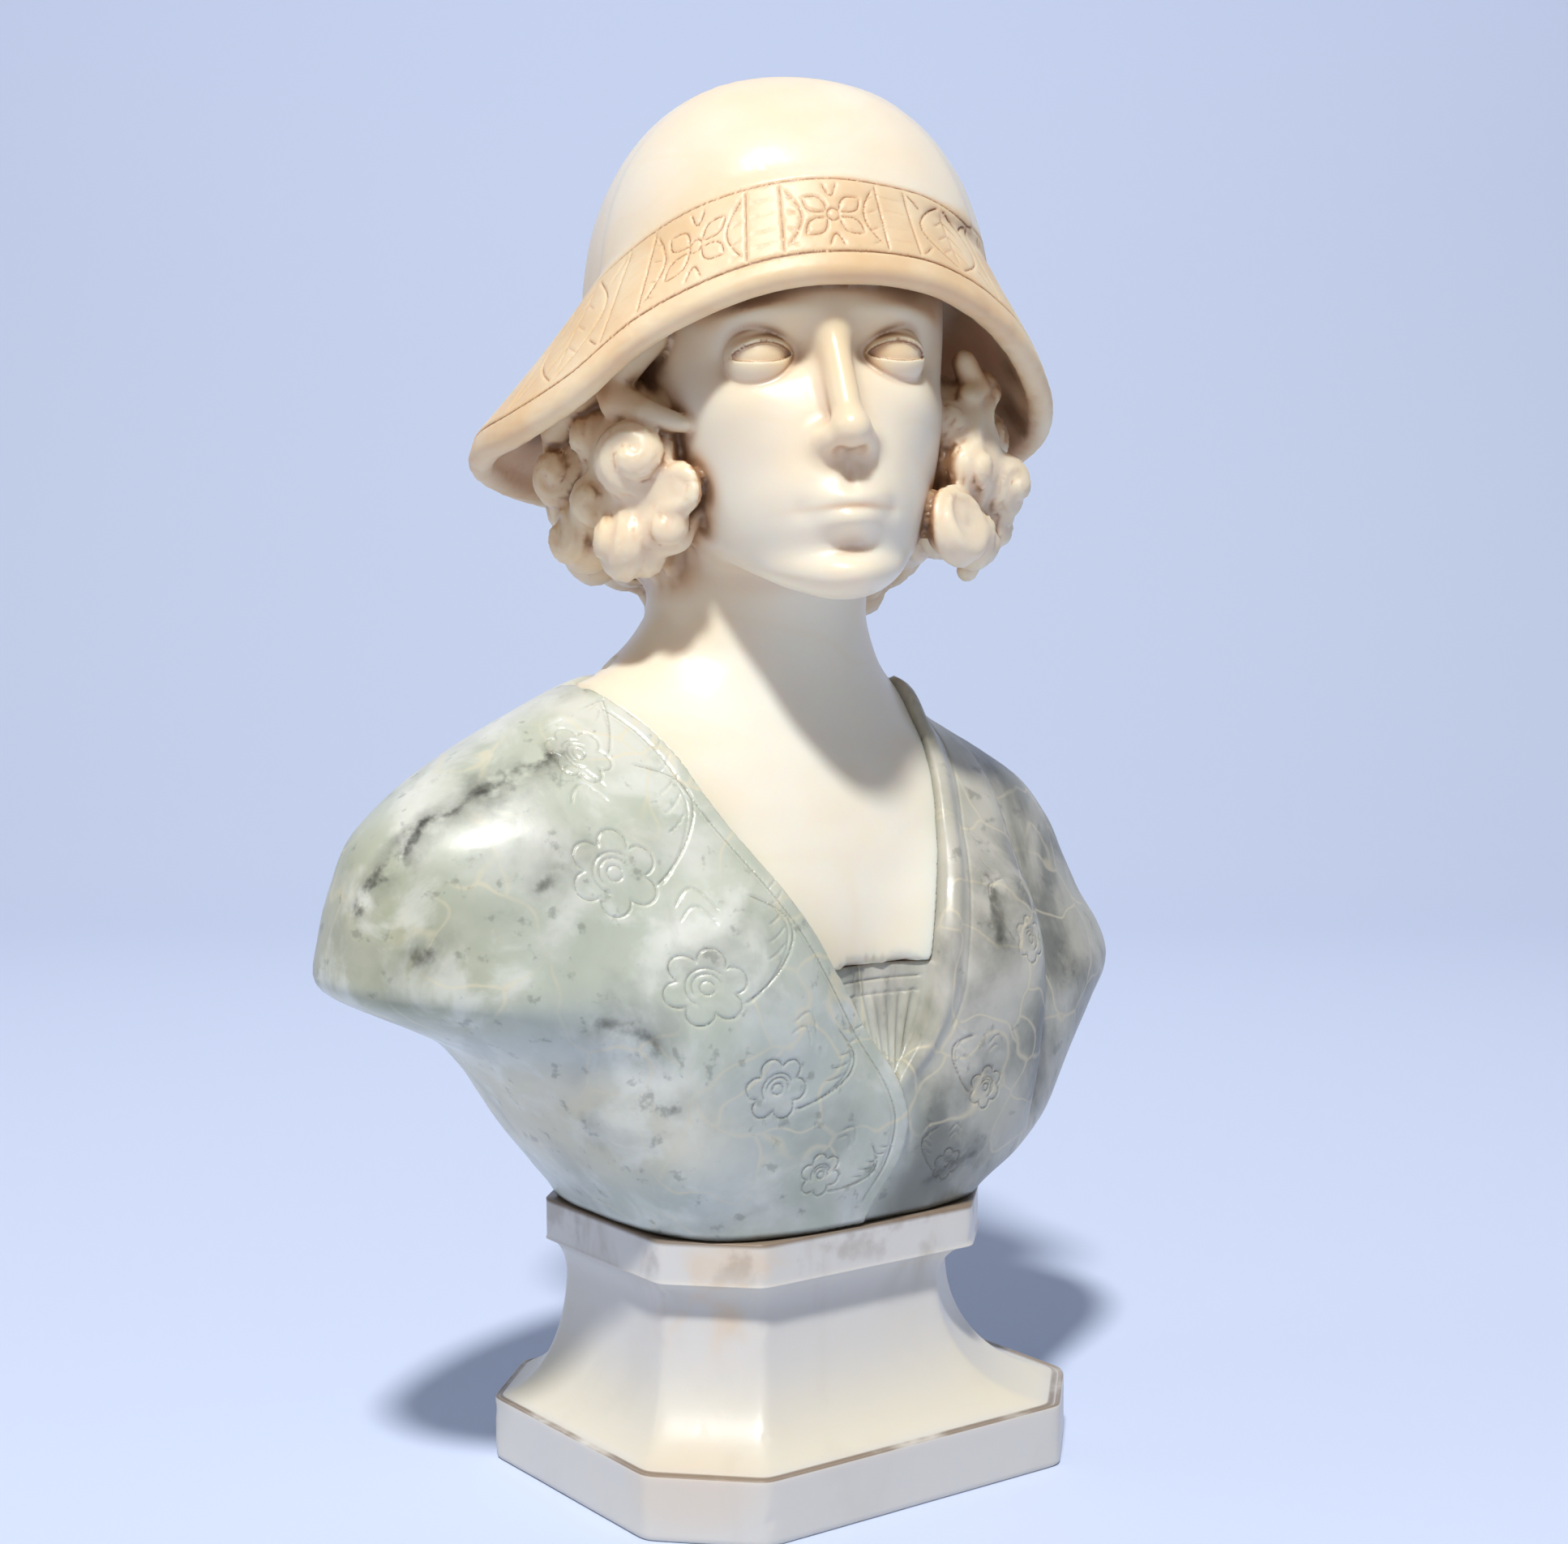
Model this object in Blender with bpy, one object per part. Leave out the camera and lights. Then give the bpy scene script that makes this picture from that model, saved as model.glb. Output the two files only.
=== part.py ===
"""A carved alabaster bust of a woman in a brimmed cap, standing on a plinth.

Three pieces: the plinth, the draped torso that rests on it, and the head with its neck and
bare chest, which is let into a pocket in the torso. Metres, +Z up, the figure's chest facing -Y.
The figure's forms are shares of the height of its head, chin to crown, as a carver's canon is.
"""

import math

import bmesh
import bpy
import numpy as np
import openvdb
from mathutils import Matrix

# Plinth
PLINTH_WIDTH = 0.176
PLINTH_DEPTH = 0.148
PLINTH_HEIGHT = 0.0890
SLAB_CORNER = 0.0275
SLAB_HEIGHT = 0.0210
SLAB_STEP = 0.0014
TOP_WIDTH = 0.1330
TOP_DEPTH = 0.1170
TOP_CORNER = 0.0240
TOP_BAND = 0.0140
TOP_SHIFT = (-0.0070, 0.0015)
WAIST_INSET = 0.0080
WAIST_HEIGHT = 0.0640

# Figure
HEAD_HEIGHT = 0.150
FIT_GAP = 0.0004
HEAD_SCALE = 1.05
HEAD_TURN = math.radians(-22)
HEAD_LIFT = math.radians(7)
HEAD_LEAN = math.radians(-2)
HEAD_CENTRE = (0.03, -0.035, 1.79)

HEAD_VOXEL = 0.0019
TORSO_VOXEL = 0.0028
HEAD_TRIANGLES = 6300
TORSO_TRIANGLES = 2600

# Pocket in the torso for the chest of the head piece, in head heights
POCKET_FLOOR = 0.565
POCKET_BACK = 0.34
POCKET_TOP = 1.22
NECK_HOLE = 0.31
NECK_SIDE = 0.10

CREAM = (0.80, 0.71, 0.58, 1)
GREEN_GREY = (0.55, 0.56, 0.50, 1)
WHITE = (0.78, 0.75, 0.70, 1)


def smooth_union(a, b, blend):
    share = np.clip(0.5 + 0.5 * (b - a) / blend, 0, 1)
    return b + (a - b) * share - blend * share * (1 - share)


def smooth_both(a, b, blend):
    return -smooth_union(-a, -b, blend)


def step(value, low, high):
    share = np.clip((value - low) / (high - low), 0, 1)
    return share * share * (3 - 2 * share)


def bump(u, v, centre, spread):
    return np.exp(-(((u - centre[0]) / spread[0]) ** 2) - ((v - centre[1]) / spread[1]) ** 2)


def curve(at, knots):
    """The value of a smooth curve through (place, value) knots."""
    x, y = np.array(knots, float).T
    slope = np.gradient(y, x)
    rise = np.diff(y) / np.diff(x)
    slope[1:-1] = np.where(rise[:-1] * rise[1:] <= 0, 0, slope[1:-1])
    at = np.clip(at, x[0], x[-1])
    i = np.clip(np.searchsorted(x, at, side="right") - 1, 0, len(x) - 2)
    width = x[i + 1] - x[i]
    t = (at - x[i]) / width
    return (
        y[i] * (1 + 2 * t) * (1 - t) ** 2
        + y[i + 1] * t * t * (3 - 2 * t)
        + width * (slope[i] * t * (1 - t) ** 2 - slope[i + 1] * t * t * (1 - t))
    )


def section(x, y, half_width, half_depth, power):
    """About the distance to an upright form whose cut at each height is a superellipse."""
    u, v = np.abs(x) / half_width, np.abs(y) / half_depth
    ratio = np.maximum((u**power + v**power) ** (1 / power), 1e-6)
    steepness = np.hypot(u ** (power - 1) / half_width, v ** (power - 1) / half_depth)
    return (ratio - 1) * ratio ** (power - 1) / np.maximum(steepness, 1e-6)


def ellipsoid(p, centre, radii):
    q = (p - np.array(centre)) / np.array(radii)
    size = np.linalg.norm(q, axis=1)
    return size * (size - 1) / np.maximum(np.linalg.norm(q / np.array(radii), axis=1), 1e-6)


def rounded(p, centre, radii, power):
    """An ellipsoid with fuller shoulders."""
    q = np.abs(p - np.array(centre)) / np.array(radii)
    size = np.maximum((q**power).sum(1) ** (1 / power), 1e-6)
    steepness = np.linalg.norm(q ** (power - 1) / np.array(radii), axis=1)
    return (size - 1) * size ** (power - 1) / np.maximum(steepness, 1e-6)


def taper(p, start, end, start_radius, end_radius):
    """A round bar between two points, with its own radius at each end."""
    start, end = np.array(start, float), np.array(end, float)
    along = end - start
    t = np.clip((p - start) @ along / (along @ along), 0, 1)
    reach = np.linalg.norm(p - start - t[:, None] * along, axis=1)
    return reach - (start_radius + t * (end_radius - start_radius))


# Body: neck and torso, from the plinth's top; the figure's right side is at -X
RIGHT_WIDTHS = [(-0.05, 0.43), (0, 0.44), (0.09, 0.51), (0.18, 0.59), (0.266, 0.655), (0.34, 0.71), (0.40, 0.77),
                (0.48, 0.93), (0.53, 1.03), (0.575, 1.055), (0.64, 1.045), (0.745, 1.02), (0.86, 0.965),
                (0.93, 0.885), (0.99, 0.80), (1.06, 0.67), (1.133, 0.52), (1.2, 0.36), (1.3, 0.18)]
LEFT_WIDTHS = [(-0.05, 0.43), (0, 0.45), (0.09, 0.60), (0.15, 0.68), (0.30, 0.82), (0.40, 0.92), (0.45, 0.975),
               (0.50, 1.0), (0.56, 0.985), (0.64, 0.93), (0.72, 0.89), (0.833, 0.83), (0.93, 0.73),
               (1.0, 0.60), (1.07, 0.46), (1.14, 0.38), (1.2, 0.30), (1.3, 0.18)]
FRONTS = [(-0.05, 0.38), (0, 0.39), (0.15, 0.455), (0.33, 0.49), (0.5, 0.485), (0.7, 0.455), (0.85, 0.40),
          (1.0, 0.31), (1.1, 0.23), (1.2, 0.15), (1.3, 0.08)]
BACKS = [(-0.05, 0.36), (0, 0.37), (0.15, 0.42), (0.35, 0.45), (0.6, 0.45), (0.8, 0.44), (0.95, 0.39),
         (1.1, 0.30), (1.2, 0.22), (1.3, 0.12)]
MIDDLES = [(0, 0.0), (0.3, 0.02), (0.6, 0.06), (0.9, 0.05), (1.3, 0.05)]
POWERS = [(0, 3.4), (0.2, 2.7), (0.5, 2.2), (1.3, 2.1)]
TORSO_TOP = 1.17

# Neckline seen from the front: the lapel from the right shoulder crosses over the left one
RIGHT_LAPEL = [(-0.05, -0.03), (0.07, 0.0), (0.15, 0.035), (0.225, 0.045), (0.31, 0.02), (0.45, -0.07), (0.587, -0.155),
               (0.755, -0.25), (0.905, -0.335), (1.07, -0.405), (1.13, -0.45), (1.3, -0.50)]
LEFT_LAPEL = [(-0.05, -0.06), (0.31, 0.015), (0.41, 0.085), (0.5, 0.12), (0.575, 0.135), (0.70, 0.175), (0.795, 0.22),
              (0.96, 0.285), (1.08, 0.325), (1.13, 0.34), (1.3, 0.38)]


def body(p, edge=0.0):
    """The draped bust with its neck; edge is how far the drapery stands above the form."""
    x, y, z = p.T
    y = y - curve(z, MIDDLES)
    width = np.where(x < 0, curve(z, RIGHT_WIDTHS), curve(z, LEFT_WIDTHS))
    depth = np.where(y < 0, curve(z, FRONTS), curve(z, BACKS))
    torso = section(x, y, width, depth, curve(z, POWERS))
    torso = smooth_both(torso, z - 1.28, 0.05)
    for side in (-1, 1):
        breast = ellipsoid(p, (side * 0.29, -0.26, 0.52), (0.25, 0.22, 0.26))
        torso = smooth_union(torso, breast, 0.12)
    neck = taper(p, (0, 0.08, 0.80), (0.01, 0.0, 1.62), 0.262, 0.245)
    return smooth_union(torso, neck, 0.22)


def opening(x, z):
    """How far a point is inside the neckline, seen from the front."""
    return np.minimum((x - curve(z, RIGHT_LAPEL)) / 1.15, curve(z, LEFT_LAPEL) - x)


def plug(p):
    """The neck and chest, a little larger than the torso's pocket: the mould trims them to it."""
    x, y, z = p.T
    walls = np.maximum(-opening(x, z), y - POCKET_BACK) - 0.06
    walls = np.where(z > 1.26, -1, walls)
    return np.maximum(np.maximum(body(p) + 0.022, walls), POCKET_FLOOR - 0.04 - z)


def drapery(p):
    """The cloth: the left front under the right one, a rolled lapel, the arm's fold and the collar."""
    x, y, z = p.T
    form = smooth_union(body(p), ellipsoid(p, (0, 0.27, 1.02), (0.44, 0.17, 0.19)), 0.08)
    front = step(-y, -0.05, 0.10)
    under = x - curve(z, RIGHT_LAPEL)
    inside = np.minimum(under, curve(z, LEFT_LAPEL) - x)
    form = form + 0.010 * step(under, -0.008, 0.008) * front * step(z, 1.15, 1.0)
    form = form + 0.024 * step(inside, -0.004, 0.008) * front * step(z, 0.75, 0.7)
    roll = (x - curve(z, LEFT_LAPEL) - 0.035) / 0.03
    form = form - 0.010 * np.exp(-(roll**2)) * front * step(z, 0.30, 0.42)
    fold = x - 0.47 - 0.03 * (z - 0.5)
    hollow = step(fold, -0.012, 0.012) * np.exp(-np.maximum(fold, 0) / 0.13)
    lip = np.exp(-(((fold + 0.05) / 0.05) ** 2))
    return form + (0.045 * hollow - 0.008 * lip) * front * step(z, 0.12, 0.3) * step(z, 1.05, 0.85)


# Head, in its own frame: eyes at the middle, face towards -Y
FACE_FRONTS = [(-0.58, 0.22), (-0.5, 0.375), (-0.46, 0.425), (-0.43, 0.437), (-0.385, 0.420), (-0.335, 0.434),
               (-0.28, 0.440), (-0.2, 0.428), (-0.12, 0.414), (0, 0.392), (0.05, 0.406), (0.09, 0.423),
               (0.16, 0.425), (0.25, 0.41), (0.35, 0.37), (0.45, 0.29)]
FACE_WIDTHS = [(-0.58, 0.06), (-0.5, 0.13), (-0.45, 0.172), (-0.38, 0.215), (-0.3, 0.252), (-0.2, 0.285),
               (-0.1, 0.305), (0, 0.312), (0.1, 0.318), (0.2, 0.325), (0.3, 0.31), (0.45, 0.25)]
EYE = (0.137, -0.325, 0.005)
EYEBALL = 0.058
EYELID = 0.067
MOUTH = -0.309


def face(q):
    x, y, z = q.T
    u = np.abs(x)
    form = section(x, y, curve(z, FACE_WIDTHS), np.where(y < 0, curve(z, FACE_FRONTS), 0.42), 2.2)
    relief = 0.012 * bump(u, z, (0.19, -0.08), (0.07, 0.06))
    relief -= 0.008 * bump(u, z, (0.18, -0.23), (0.06, 0.07))
    relief -= 0.040 * bump(u, z, (0.135, 0.005), (0.062, 0.042))
    relief -= 0.018 * bump(u, z, (0.06, 0.01), (0.025, 0.04))
    relief += 0.010 * bump(u, z, (0.14, 0.088), (0.09, 0.022))
    relief += 0.012 * bump(u, z, (0, -0.29), (0.085, 0.06))
    relief += 0.010 * bump(u, z, (0, -0.445), (0.05, 0.035))
    relief -= 0.008 * bump(u, z, (0, -0.382), (0.06, 0.016))
    relief -= 0.006 * bump(u, z, (0, -0.245), (0.010, 0.026))
    relief -= 0.010 * bump(u, z, (0.090, MOUTH - 0.004), (0.020, 0.016))
    return form - relief * (y < 0)


def lips(q):
    """Two soft forms that meet at the line of the mouth."""
    upper = ellipsoid(q, (0, -0.420, MOUTH + 0.012), (0.086, 0.048, 0.0185))
    lower = ellipsoid(q, (0, -0.420, MOUTH - 0.021), (0.076, 0.050, 0.024))
    return smooth_union(upper, lower, 0.004)


def nose(q):
    form = taper(q, (0, -0.385, 0.055), (0, -0.478, -0.150), 0.026, 0.034)
    form = smooth_union(form, ellipsoid(q, (0, -0.484, -0.168), (0.042, 0.040, 0.034)), 0.03)
    u = q * (1, 1, 1)
    u[:, 0] = np.abs(u[:, 0])
    form = smooth_union(form, ellipsoid(u, (0.043, -0.443, -0.178), (0.026, 0.040, 0.030)), 0.022)
    hole = ellipsoid(u, (0.024, -0.466, -0.207), (0.013, 0.024, 0.014))
    return smooth_both(form, -hole, 0.008)


def eyes(q):
    """Eyeballs under their lids, each lid a shell that is open in an almond."""
    u = q * (1, 1, 1)
    u[:, 0] = np.abs(u[:, 0])
    x, _, z = (u - EYE).T
    reach = np.clip(1 - (x / 0.064) ** 2, 0, 1)
    upper = 0.027 * reach**0.75 - (z + 0.02 * x)
    lower = 0.017 * reach**0.9 + (z + 0.02 * x)
    almond = np.minimum(upper, lower)
    ball = ellipsoid(u, EYE, (EYEBALL,) * 3)
    lid = smooth_both(ellipsoid(u, EYE, (EYELID,) * 3), almond, 0.004)
    return ball, lid


def skull(q):
    x, y, z = q.T
    under = 0.43 * (y + 0.40) - 0.903 * (z + 0.50)
    form = smooth_both(smooth_both(face(q), under, 0.07), z - 0.36, 0.05)
    form = smooth_union(form, nose(q), 0.028)
    form = smooth_union(form, lips(q), 0.014)
    ball, lid = eyes(q)
    form = smooth_union(form, lid, 0.010)
    form = np.minimum(form, ball)
    return smooth_union(form, ellipsoid(q, (0, 0.05, 0.12), (0.32, 0.40, 0.36)), 0.06)


# Cap: a dome, and a brim whose cut follows the way round from the front, in degrees, the right side negative
BAND_TOPS = [(-180, 0.05), (-150, 0.06), (-120, 0.09), (-90, 0.155), (-60, 0.235), (-30, 0.312), (0, 0.342),
             (30, 0.318), (60, 0.275), (90, 0.20), (120, 0.12), (150, 0.07), (180, 0.05)]
BAND_FEET = [(-180, -0.13), (-150, -0.115), (-120, -0.088), (-90, -0.075), (-75, -0.06), (-60, -0.012), (-45, 0.075),
             (-30, 0.132), (0, 0.176), (30, 0.152), (45, 0.105), (60, 0.04), (75, -0.025), (90, -0.065),
             (120, -0.10), (150, -0.12), (180, -0.13)]
BAND_TOP_REACH = [(-180, 0.475), (-135, 0.465), (-90, 0.445), (-45, 0.44), (0, 0.455), (45, 0.44), (90, 0.435),
                  (135, 0.455), (180, 0.475)]
BAND_FOOT_REACH = [(-180, 0.58), (-150, 0.61), (-120, 0.65), (-90, 0.645), (-60, 0.575), (-30, 0.51), (0, 0.500),
                   (30, 0.505), (60, 0.54), (90, 0.575), (120, 0.585), (150, 0.58), (180, 0.58)]
CAP_CENTRE = (0, 0.03)


def round_head(q):
    """Where a point is round the cap: the way round from the front, the reach and the height."""
    x, y, z = q.T
    x, y = x - CAP_CENTRE[0], y - CAP_CENTRE[1]
    return np.degrees(np.arctan2(x, -y)), np.hypot(x, y), z


def bar2d(r, z, r0, z0, r1, z1, radius):
    dr, dz = r1 - r0, z1 - z0
    t = np.clip(((r - r0) * dr + (z - z0) * dz) / (dr * dr + dz * dz), 0, 1)
    return np.hypot(r - r0 - t * dr, z - z0 - t * dz) - radius


def cap(q):
    way, reach, z = round_head(q)
    top, top_reach = curve(way, BAND_TOPS), curve(way, BAND_TOP_REACH)
    foot, foot_reach = curve(way, BAND_FEET), curve(way, BAND_FOOT_REACH)
    dome = rounded(q, (0.02, 0.035, 0.13), (0.432, 0.462, 0.535), 2.3)
    dome = np.maximum(dome, -(z - top + 0.06))
    band = bar2d(reach, z, top_reach - 0.025, top - 0.01, foot_reach - 0.02, foot, 0.026)
    hem = np.hypot(reach - foot_reach + 0.012, z - foot + 0.028) - 0.027
    brim = smooth_union(band, hem, 0.012)
    return smooth_union(dome, brim, 0.02)


# Curls: the side (-1 right), the way round from the front, the height, the size, and 0 for a ball or 1 for a ring
CURLS = [(-66, -0.160, 0.41, 0.074, 0), (-97, -0.150, 0.44, 0.066, 0), (-80, -0.068, 0.40, 0.052, 1),
         (-84, -0.245, 0.42, 0.056, 1), (-101, -0.275, 0.42, 0.058, 0), (-84, -0.325, 0.40, 0.048, 0),
         (-65, -0.315, 0.395, 0.060, 1), (-49, -0.240, 0.38, 0.036, 0), (72, -0.015, 0.43, 0.036, 0),
         (69, -0.085, 0.43, 0.048, 1), (60, -0.195, 0.41, 0.054, 0), (75, -0.215, 0.45, 0.062, 0),
         (47, -0.305, 0.395, 0.074, 0), (60, -0.375, 0.39, 0.048, 0), (88, -0.10, 0.44, 0.060, 1),
         (92, -0.21, 0.44, 0.062, 1), (84, -0.33, 0.41, 0.055, 1), (-116, -0.13, 0.44, 0.068, 1),
         (109, -0.12, 0.44, 0.066, 0), (-118, -0.26, 0.43, 0.070, 0), (112, -0.26, 0.43, 0.072, 0),
         (-112, -0.37, 0.39, 0.058, 1), (104, -0.355, 0.40, 0.056, 0), (-136, -0.17, 0.43, 0.070, 0),
         (131, -0.17, 0.43, 0.072, 1), (-138, -0.30, 0.42, 0.074, 1), (133, -0.31, 0.42, 0.072, 0),
         (-131, -0.405, 0.38, 0.056, 0), (127, -0.41, 0.38, 0.056, 1), (-158, -0.19, 0.43, 0.074, 1),
         (154, -0.20, 0.43, 0.072, 0), (-160, -0.33, 0.42, 0.076, 0), (155, -0.34, 0.42, 0.074, 1),
         (-152, -0.44, 0.37, 0.056, 1), (150, -0.44, 0.37, 0.058, 0), (178, -0.22, 0.43, 0.072, 0),
         (177, -0.36, 0.42, 0.076, 1), (172, -0.46, 0.37, 0.058, 0)]
RIBBONS = [[(-54, 0.075, 0.385, 0.030), (-62, 0.035, 0.405, 0.030), (-69, -0.005, 0.41, 0.031),
            (-67, -0.045, 0.41, 0.030), (-58, -0.082, 0.40, 0.026), (-46, -0.108, 0.375, 0.018)],
           [(-70, 0.045, 0.40, 0.030), (-80, -0.005, 0.425, 0.032), (-90, -0.055, 0.44, 0.028)],
           [(62, 0.03, 0.395, 0.022), (66, -0.02, 0.41, 0.026), (60, -0.05, 0.40, 0.022)],
           [(66, -0.13, 0.41, 0.030), (70, -0.17, 0.42, 0.030), (66, -0.24, 0.41, 0.028)]]


def beside(way, height, reach):
    """A place beside the head, by its way round from the front in degrees and its reach from the cap's middle."""
    turn = math.radians(way)
    return np.array([CAP_CENTRE[0] + reach * math.sin(turn), CAP_CENTRE[1] - reach * math.cos(turn), height])


def curl(d, out, size, ring, phase):
    """A lock of hair: a ball wound like a snail's shell about the line out of the head, or a ring."""
    side = np.array([-out[1], out[0], 0.0])
    u, v, w = d @ side, d[:, 2], d @ out
    round_ = np.hypot(u, v)
    if ring:
        turn = np.arctan2(v, u) + phase
        thick = size * (0.40 + 0.10 * np.cos(turn))
        return np.hypot(round_ - size * 0.60, w - 0.25 * size * np.sin(turn)) - thick
    wind = np.cos(np.arctan2(v, u) + 9 * round_ / size + phase)
    return np.linalg.norm(d, axis=1) - size + 0.09 * size * (wind - 1) * np.clip(round_ / size * 2, 0, 1)


def hair(q):
    u = q * (1, 1, 1)
    u[:, 0] = np.abs(u[:, 0])
    mass = ellipsoid(u, (0.315, -0.05, -0.14), (0.060, 0.15, 0.19))
    mass = smooth_union(mass, ellipsoid(u, (0.27, 0.12, -0.18), (0.12, 0.22, 0.21)), 0.06)
    mass = smooth_union(mass, ellipsoid(q, (0, 0.24, -0.24), (0.33, 0.19, 0.25)), 0.08)
    for i, (way, height, reach, size, ring) in enumerate(CURLS):
        centre = beside(way, height, reach - 0.015)
        near = np.flatnonzero(np.abs(q - centre).max(1) < 2.2 * size)
        out = np.array([math.sin(math.radians(way)), -math.cos(math.radians(way)), 0.0])
        lock = curl(q[near] - centre, out, size, ring, 2.1 * i)
        mass[near] = smooth_union(mass[near], lock, 0.014)
    for ribbon in RIBBONS:
        for start, end in zip(ribbon, ribbon[1:]):
            strand = taper(q, beside(*start[:3]), beside(*end[:3]), start[3], end[3])
            mass = smooth_union(mass, strand, 0.014)
    return mass


def head_frame(p):
    """Figure coordinates to the head's own."""
    turn = Matrix.Rotation(HEAD_TURN, 3, "Z") @ Matrix.Rotation(-HEAD_LIFT, 3, "X")
    turn = turn @ Matrix.Rotation(HEAD_LEAN, 3, "Y")
    return (p - np.array(HEAD_CENTRE)) @ np.array(turn) / HEAD_SCALE


def head_piece(p):
    q = head_frame(p)
    form = smooth_union(skull(q), hair(q), 0.012)
    form = smooth_union(form, plug(p), 0.06)
    return np.minimum(form, cap(q))


def torso_piece(p):
    form = smooth_both(drapery(p), p[:, 2] - TORSO_TOP, 0.03)
    return np.maximum(form, FIT_GAP / HEAD_HEIGHT - p[:, 2])


def solid(name, field, low, high, voxel, triangles, colour):
    """Meshes a form given as about its distance, in head heights, and places it on the plinth."""
    low, high = np.array(low, float), np.array(high, float)
    pitch = voxel / HEAD_HEIGHT
    count = np.ceil((high - low) / pitch).astype(int) + 1
    axes = [low[i] + pitch * np.arange(count[i]) for i in range(3)]
    grid = np.stack(np.meshgrid(*axes, indexing="ij"), -1).reshape(-1, 3)
    values = np.concatenate([field(part) for part in np.array_split(grid, 40)])
    volume = openvdb.FloatGrid(1.0)
    volume.copyFromArray(values.reshape(count).astype(np.float32))
    points, _, fours = volume.convertToPolygons(isovalue=0.0, adaptivity=0.0)
    points, fours = outer_shell(low + points * pitch, np.array(fours, int))
    for _ in range(2):
        points = settle(points, field, pitch)
    mesh = bpy.data.meshes.new(name)
    mesh.from_pydata((points * HEAD_HEIGHT).tolist(), [], fours[:, ::-1].tolist())
    mesh.shade_smooth()
    piece = bpy.data.objects.new(name, mesh)
    bpy.context.collection.objects.link(piece)
    piece.location = (*TOP_SHIFT, PLINTH_HEIGHT)
    reduce = piece.modifiers.new("facets", "DECIMATE")
    reduce.ratio = triangles / (2 * len(fours))
    mesh.materials.append(material(name, colour, 0.35))
    return piece


def outer_shell(points, faces):
    """Keeps what is linked to the highest point, so that the stone has no sealed hollow inside."""
    label = np.arange(len(points))
    linked = None
    while linked is None or (linked != label).any():
        label = label if linked is None else linked
        lowest = label[faces].min(1)
        linked = label.copy()
        np.minimum.at(linked, faces.ravel(), np.repeat(lowest, faces.shape[1]))
        linked = linked[linked]
    faces = faces[label[faces[:, 0]] == label[np.argmax(points[:, 2])]]
    used = np.unique(faces)
    return points[used], np.searchsorted(used, faces)


def settle(points, field, pitch):
    """Moves each point along the form's slope onto its surface, by at most half a voxel."""
    tiny = 0.1 * pitch
    slope = np.stack([field(points + step_) - field(points - step_) for step_ in tiny * np.eye(3)], 1)
    slope /= 2 * tiny
    move = field(points)[:, None] * slope / np.maximum((slope**2).sum(1), 0.25)[:, None]
    size = np.linalg.norm(move, axis=1)
    return points - move * np.minimum(1, 0.5 * pitch / np.maximum(size, 1e-9))[:, None]


def material(name, colour, roughness):
    finish = bpy.data.materials.new(name)
    finish.use_nodes = True
    shader = finish.node_tree.nodes["Principled BSDF"]
    shader.inputs["Base Color"].default_value = colour
    shader.inputs["Roughness"].default_value = roughness
    return finish


def canted(half_width, half_depth, corner):
    """The eight corners of a rectangle with its corners cut off."""
    x, y, c = half_width, half_depth, corner
    return [(x - c, -y), (x, c - y), (x, y - c), (x - c, y), (c - x, y), (-x, y - c), (-x, c - y), (c - x, -y)]


def plinth_levels():
    """Height, and share of the way from the slab's plan to the top's, going up."""
    flare = PLINTH_WIDTH / 2 - TOP_WIDTH / 2
    step_share = SLAB_STEP / flare
    waist_share = 1 + WAIST_INSET / flare
    band_foot = PLINTH_HEIGHT - TOP_BAND
    levels = [(0, 0), (SLAB_HEIGHT - 0.0012, 0), (SLAB_HEIGHT, 0.6 * step_share), (SLAB_HEIGHT - 0.0006, step_share)]
    for i in range(1, 11):
        angle = math.radians(82 - 8.2 * i)
        share = waist_share - (waist_share - step_share) * (1 - math.cos(angle)) / (1 - math.cos(math.radians(82)))
        height = WAIST_HEIGHT - (WAIST_HEIGHT - SLAB_HEIGHT) * math.sin(angle) / math.sin(math.radians(82))
        levels.append((height, share))
    for i in range(1, 5):
        angle = math.radians(20 * i)
        share = waist_share - (waist_share - 1) * (1 - math.cos(angle))
        levels.append((WAIST_HEIGHT + (band_foot - WAIST_HEIGHT) * math.sin(angle), share))
    return levels + [(band_foot, 1), (PLINTH_HEIGHT, 1)]


def plinth():
    form = bmesh.new()
    rings = []
    for height, share in plinth_levels():
        half_width = (PLINTH_WIDTH + (TOP_WIDTH - PLINTH_WIDTH) * share) / 2
        half_depth = (PLINTH_DEPTH + (TOP_DEPTH - PLINTH_DEPTH) * share) / 2
        corner = SLAB_CORNER + (TOP_CORNER - SLAB_CORNER) * share
        move_x, move_y = TOP_SHIFT[0] * share, TOP_SHIFT[1] * share
        plan = canted(half_width, half_depth, corner)
        rings.append([form.verts.new((x + move_x, y + move_y, height)) for x, y in plan])
    for lower, upper in zip(rings, rings[1:]):
        for i in range(8):
            form.faces.new((lower[i], lower[(i + 1) % 8], upper[(i + 1) % 8], upper[i]))
    form.faces.new(rings[0][::-1])
    form.faces.new(rings[-1])
    mesh = bpy.data.meshes.new("plinth")
    form.to_mesh(mesh)
    form.free()
    piece = bpy.data.objects.new("plinth", mesh)
    bpy.context.collection.objects.link(piece)
    mesh.materials.append(material("plinth", WHITE, 0.3))
    return piece


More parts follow.
